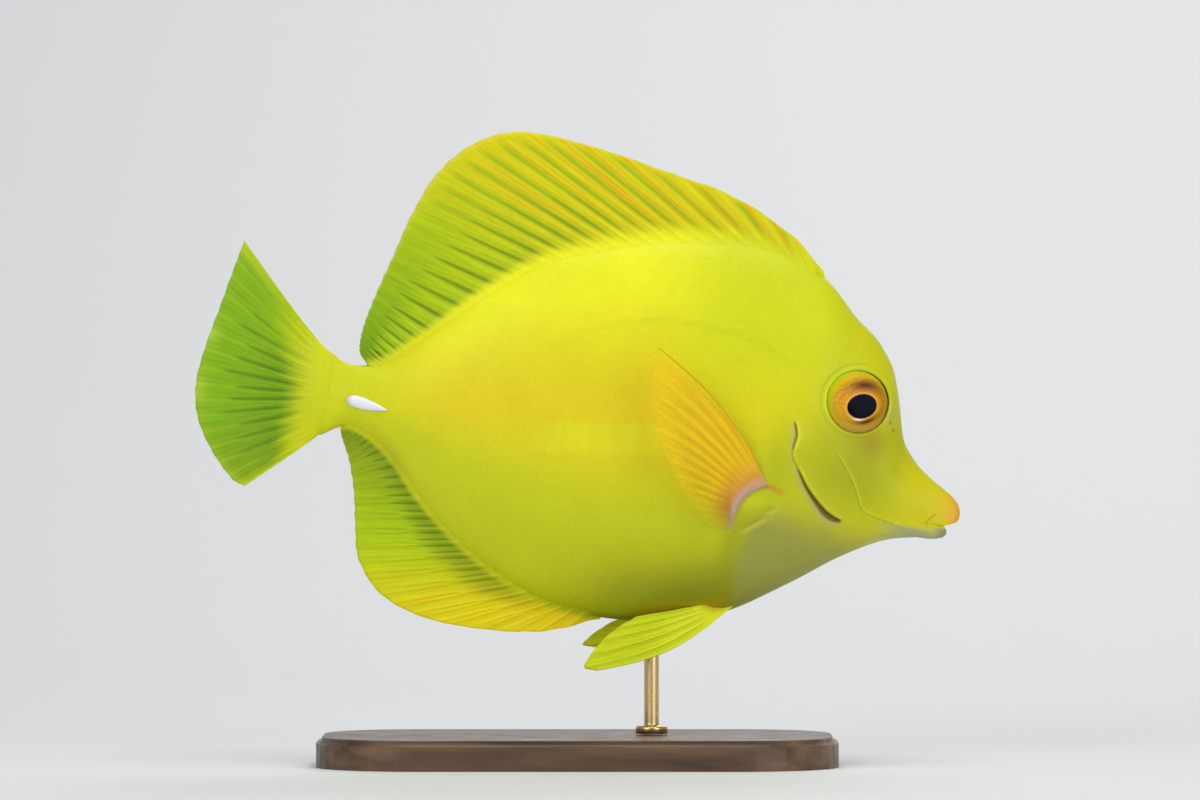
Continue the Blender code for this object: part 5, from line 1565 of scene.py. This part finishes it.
def tail_spine(side, name):
    share = (1 - np.cos(np.linspace(0, np.pi, TANG_SECTIONS))) / 2
    turn = round_angles(TANG_AROUND)
    height = TANG_PROFILE(share)
    s, z = mix(TANG_BACK[0], TANG_TIP[0], share), mix(TANG_BACK[1], TANG_TIP[1], share)
    middle = plain_half(s, z) + TANG_PROUD
    up = np.outer(TANG_HALF_UP * height, np.sin(turn))
    out = np.outer(TANG_HALF_OUT * np.sqrt(height), np.cos(turn))
    points = np.stack([np.repeat(s[:, None], TANG_AROUND, 1), side * (middle[:, None] + out),
                       z[:, None] + up], 2).reshape(-1, 3)
    paint = coats(np.tile(BONE_WHITE, (len(points), 1)),
                  (BONE_HINGE, 0.7 * (1 - ease(0.0, 0.2, np.repeat(share, TANG_AROUND)))))
    return make_piece(name, points, tube_faces(TANG_SECTIONS, TANG_AROUND), BONE, [name],
                      {"paint": paint})


for side, word in SIDES:
    tail_spine(side, f"tail_spine_{word}")

# %% [markdown]
# ## The stand
# The photograph shows the fish swimming, and a model of it needs a stand. It is as plain as a
# museum's: an oval base of oiled walnut and one brass rod. The base keeps the solid from the CAD
# model, because a plank with an eased edge is already right, and gets a wood with long grain. The
# rod is turned again with a finer curve and a rounded collar.

# %% Wood and brass
GRAIN_SCALE = (14.0, 160.0, 160.0)  # for each metre; small along x, so the grain runs that way
WOOD_STOPS = ((0.32, (0.035, 0.017, 0.009)), (0.7, (0.19, 0.10, 0.05)))


def walnut():
    made, tree, shader = new_material("walnut", (0.13, 0.07, 0.04), Specular_IOR_Level=0.4,
                                      Coat_Weight=0.15, Coat_Roughness=0.3)
    place = add_node(tree, "ShaderNodeTexCoord").outputs["Object"]
    stretched = add_node(tree, "ShaderNodeVectorMath", {0: place, 1: GRAIN_SCALE},
                         operation="MULTIPLY").outputs[0]
    grain = add_node(tree, "ShaderNodeTexNoise", {"Vector": stretched, "Scale": 1.0, "Detail": 5.0,
                                                  "Distortion": 0.6}).outputs["Fac"]
    ramp = add_node(tree, "ShaderNodeValToRGB", {"Fac": grain})
    for stop, (position, colour) in zip(ramp.color_ramp.elements, WOOD_STOPS):
        stop.position = position
        stop.color = (*colour, 1.0)
    tree.links.new(ramp.outputs["Color"], shader.inputs["Base Color"])
    lay_film(tree, shader, scaled(tree, place, 1 / MM), 6.0, 0.35, 0.5)
    bump(tree, shader, grain, 0.06)
    return made


WOOD = walnut()
BRASS = hard_material("satin_brass", (0.72, 0.53, 0.25), (3.0, 0.08), (1.5, 0.2, 0.34), painted=False,
                      Metallic=1.0)
for place in bpy.data.objects["stand_base"].material_slots:
    place.material = WOOD
print("stand materials:", WOOD.name, BRASS.name)

# %% Rod and collar
ROD_RADIUS, ROD_TURNS, BASE_THICK = 1.5, 48, 6.0
COLLAR_RADIUS, COLLAR_EDGE, ROD_FILLET = 3.2, 0.5, 0.4
COLLAR_LOW, COLLAR_ROUND, FILLET_Z, ROD_FROM = 0.3, 1.4, 2.3, 2.5  # heights above the base


def stand_rod():
    """A turned rod with a rounded collar, whose flat top ends a hair under the belly."""
    low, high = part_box("stand_rod")
    centre = np.array([(low[0] + high[0]) / 2, 0.0, 0.0])
    bend = np.linspace(0, math.pi / 2, 8)
    profile = [(COLLAR_RADIUS, COLLAR_LOW)]
    profile += [(COLLAR_RADIUS - COLLAR_EDGE * (1 - math.cos(a)), COLLAR_ROUND + COLLAR_EDGE * math.sin(a))
                for a in bend]
    profile += [(ROD_RADIUS + ROD_FILLET * (1 - math.sin(a)), FILLET_Z - ROD_FILLET * math.cos(a))
                for a in bend]
    profile += [(ROD_RADIUS, z) for z in np.linspace(ROD_FROM, high[2] / MM - BASE_THICK, 6)]
    points = [(r * math.cos(a), r * math.sin(a), BASE_THICK + z)
              for r, z in profile for a in round_angles(ROD_TURNS)]
    return make_piece("stand_rod_turned", in_fish(np.array(points) * MM + centre),
                      tube_faces(len(profile), ROD_TURNS), BRASS, ["stand_rod"])


stand_rod()
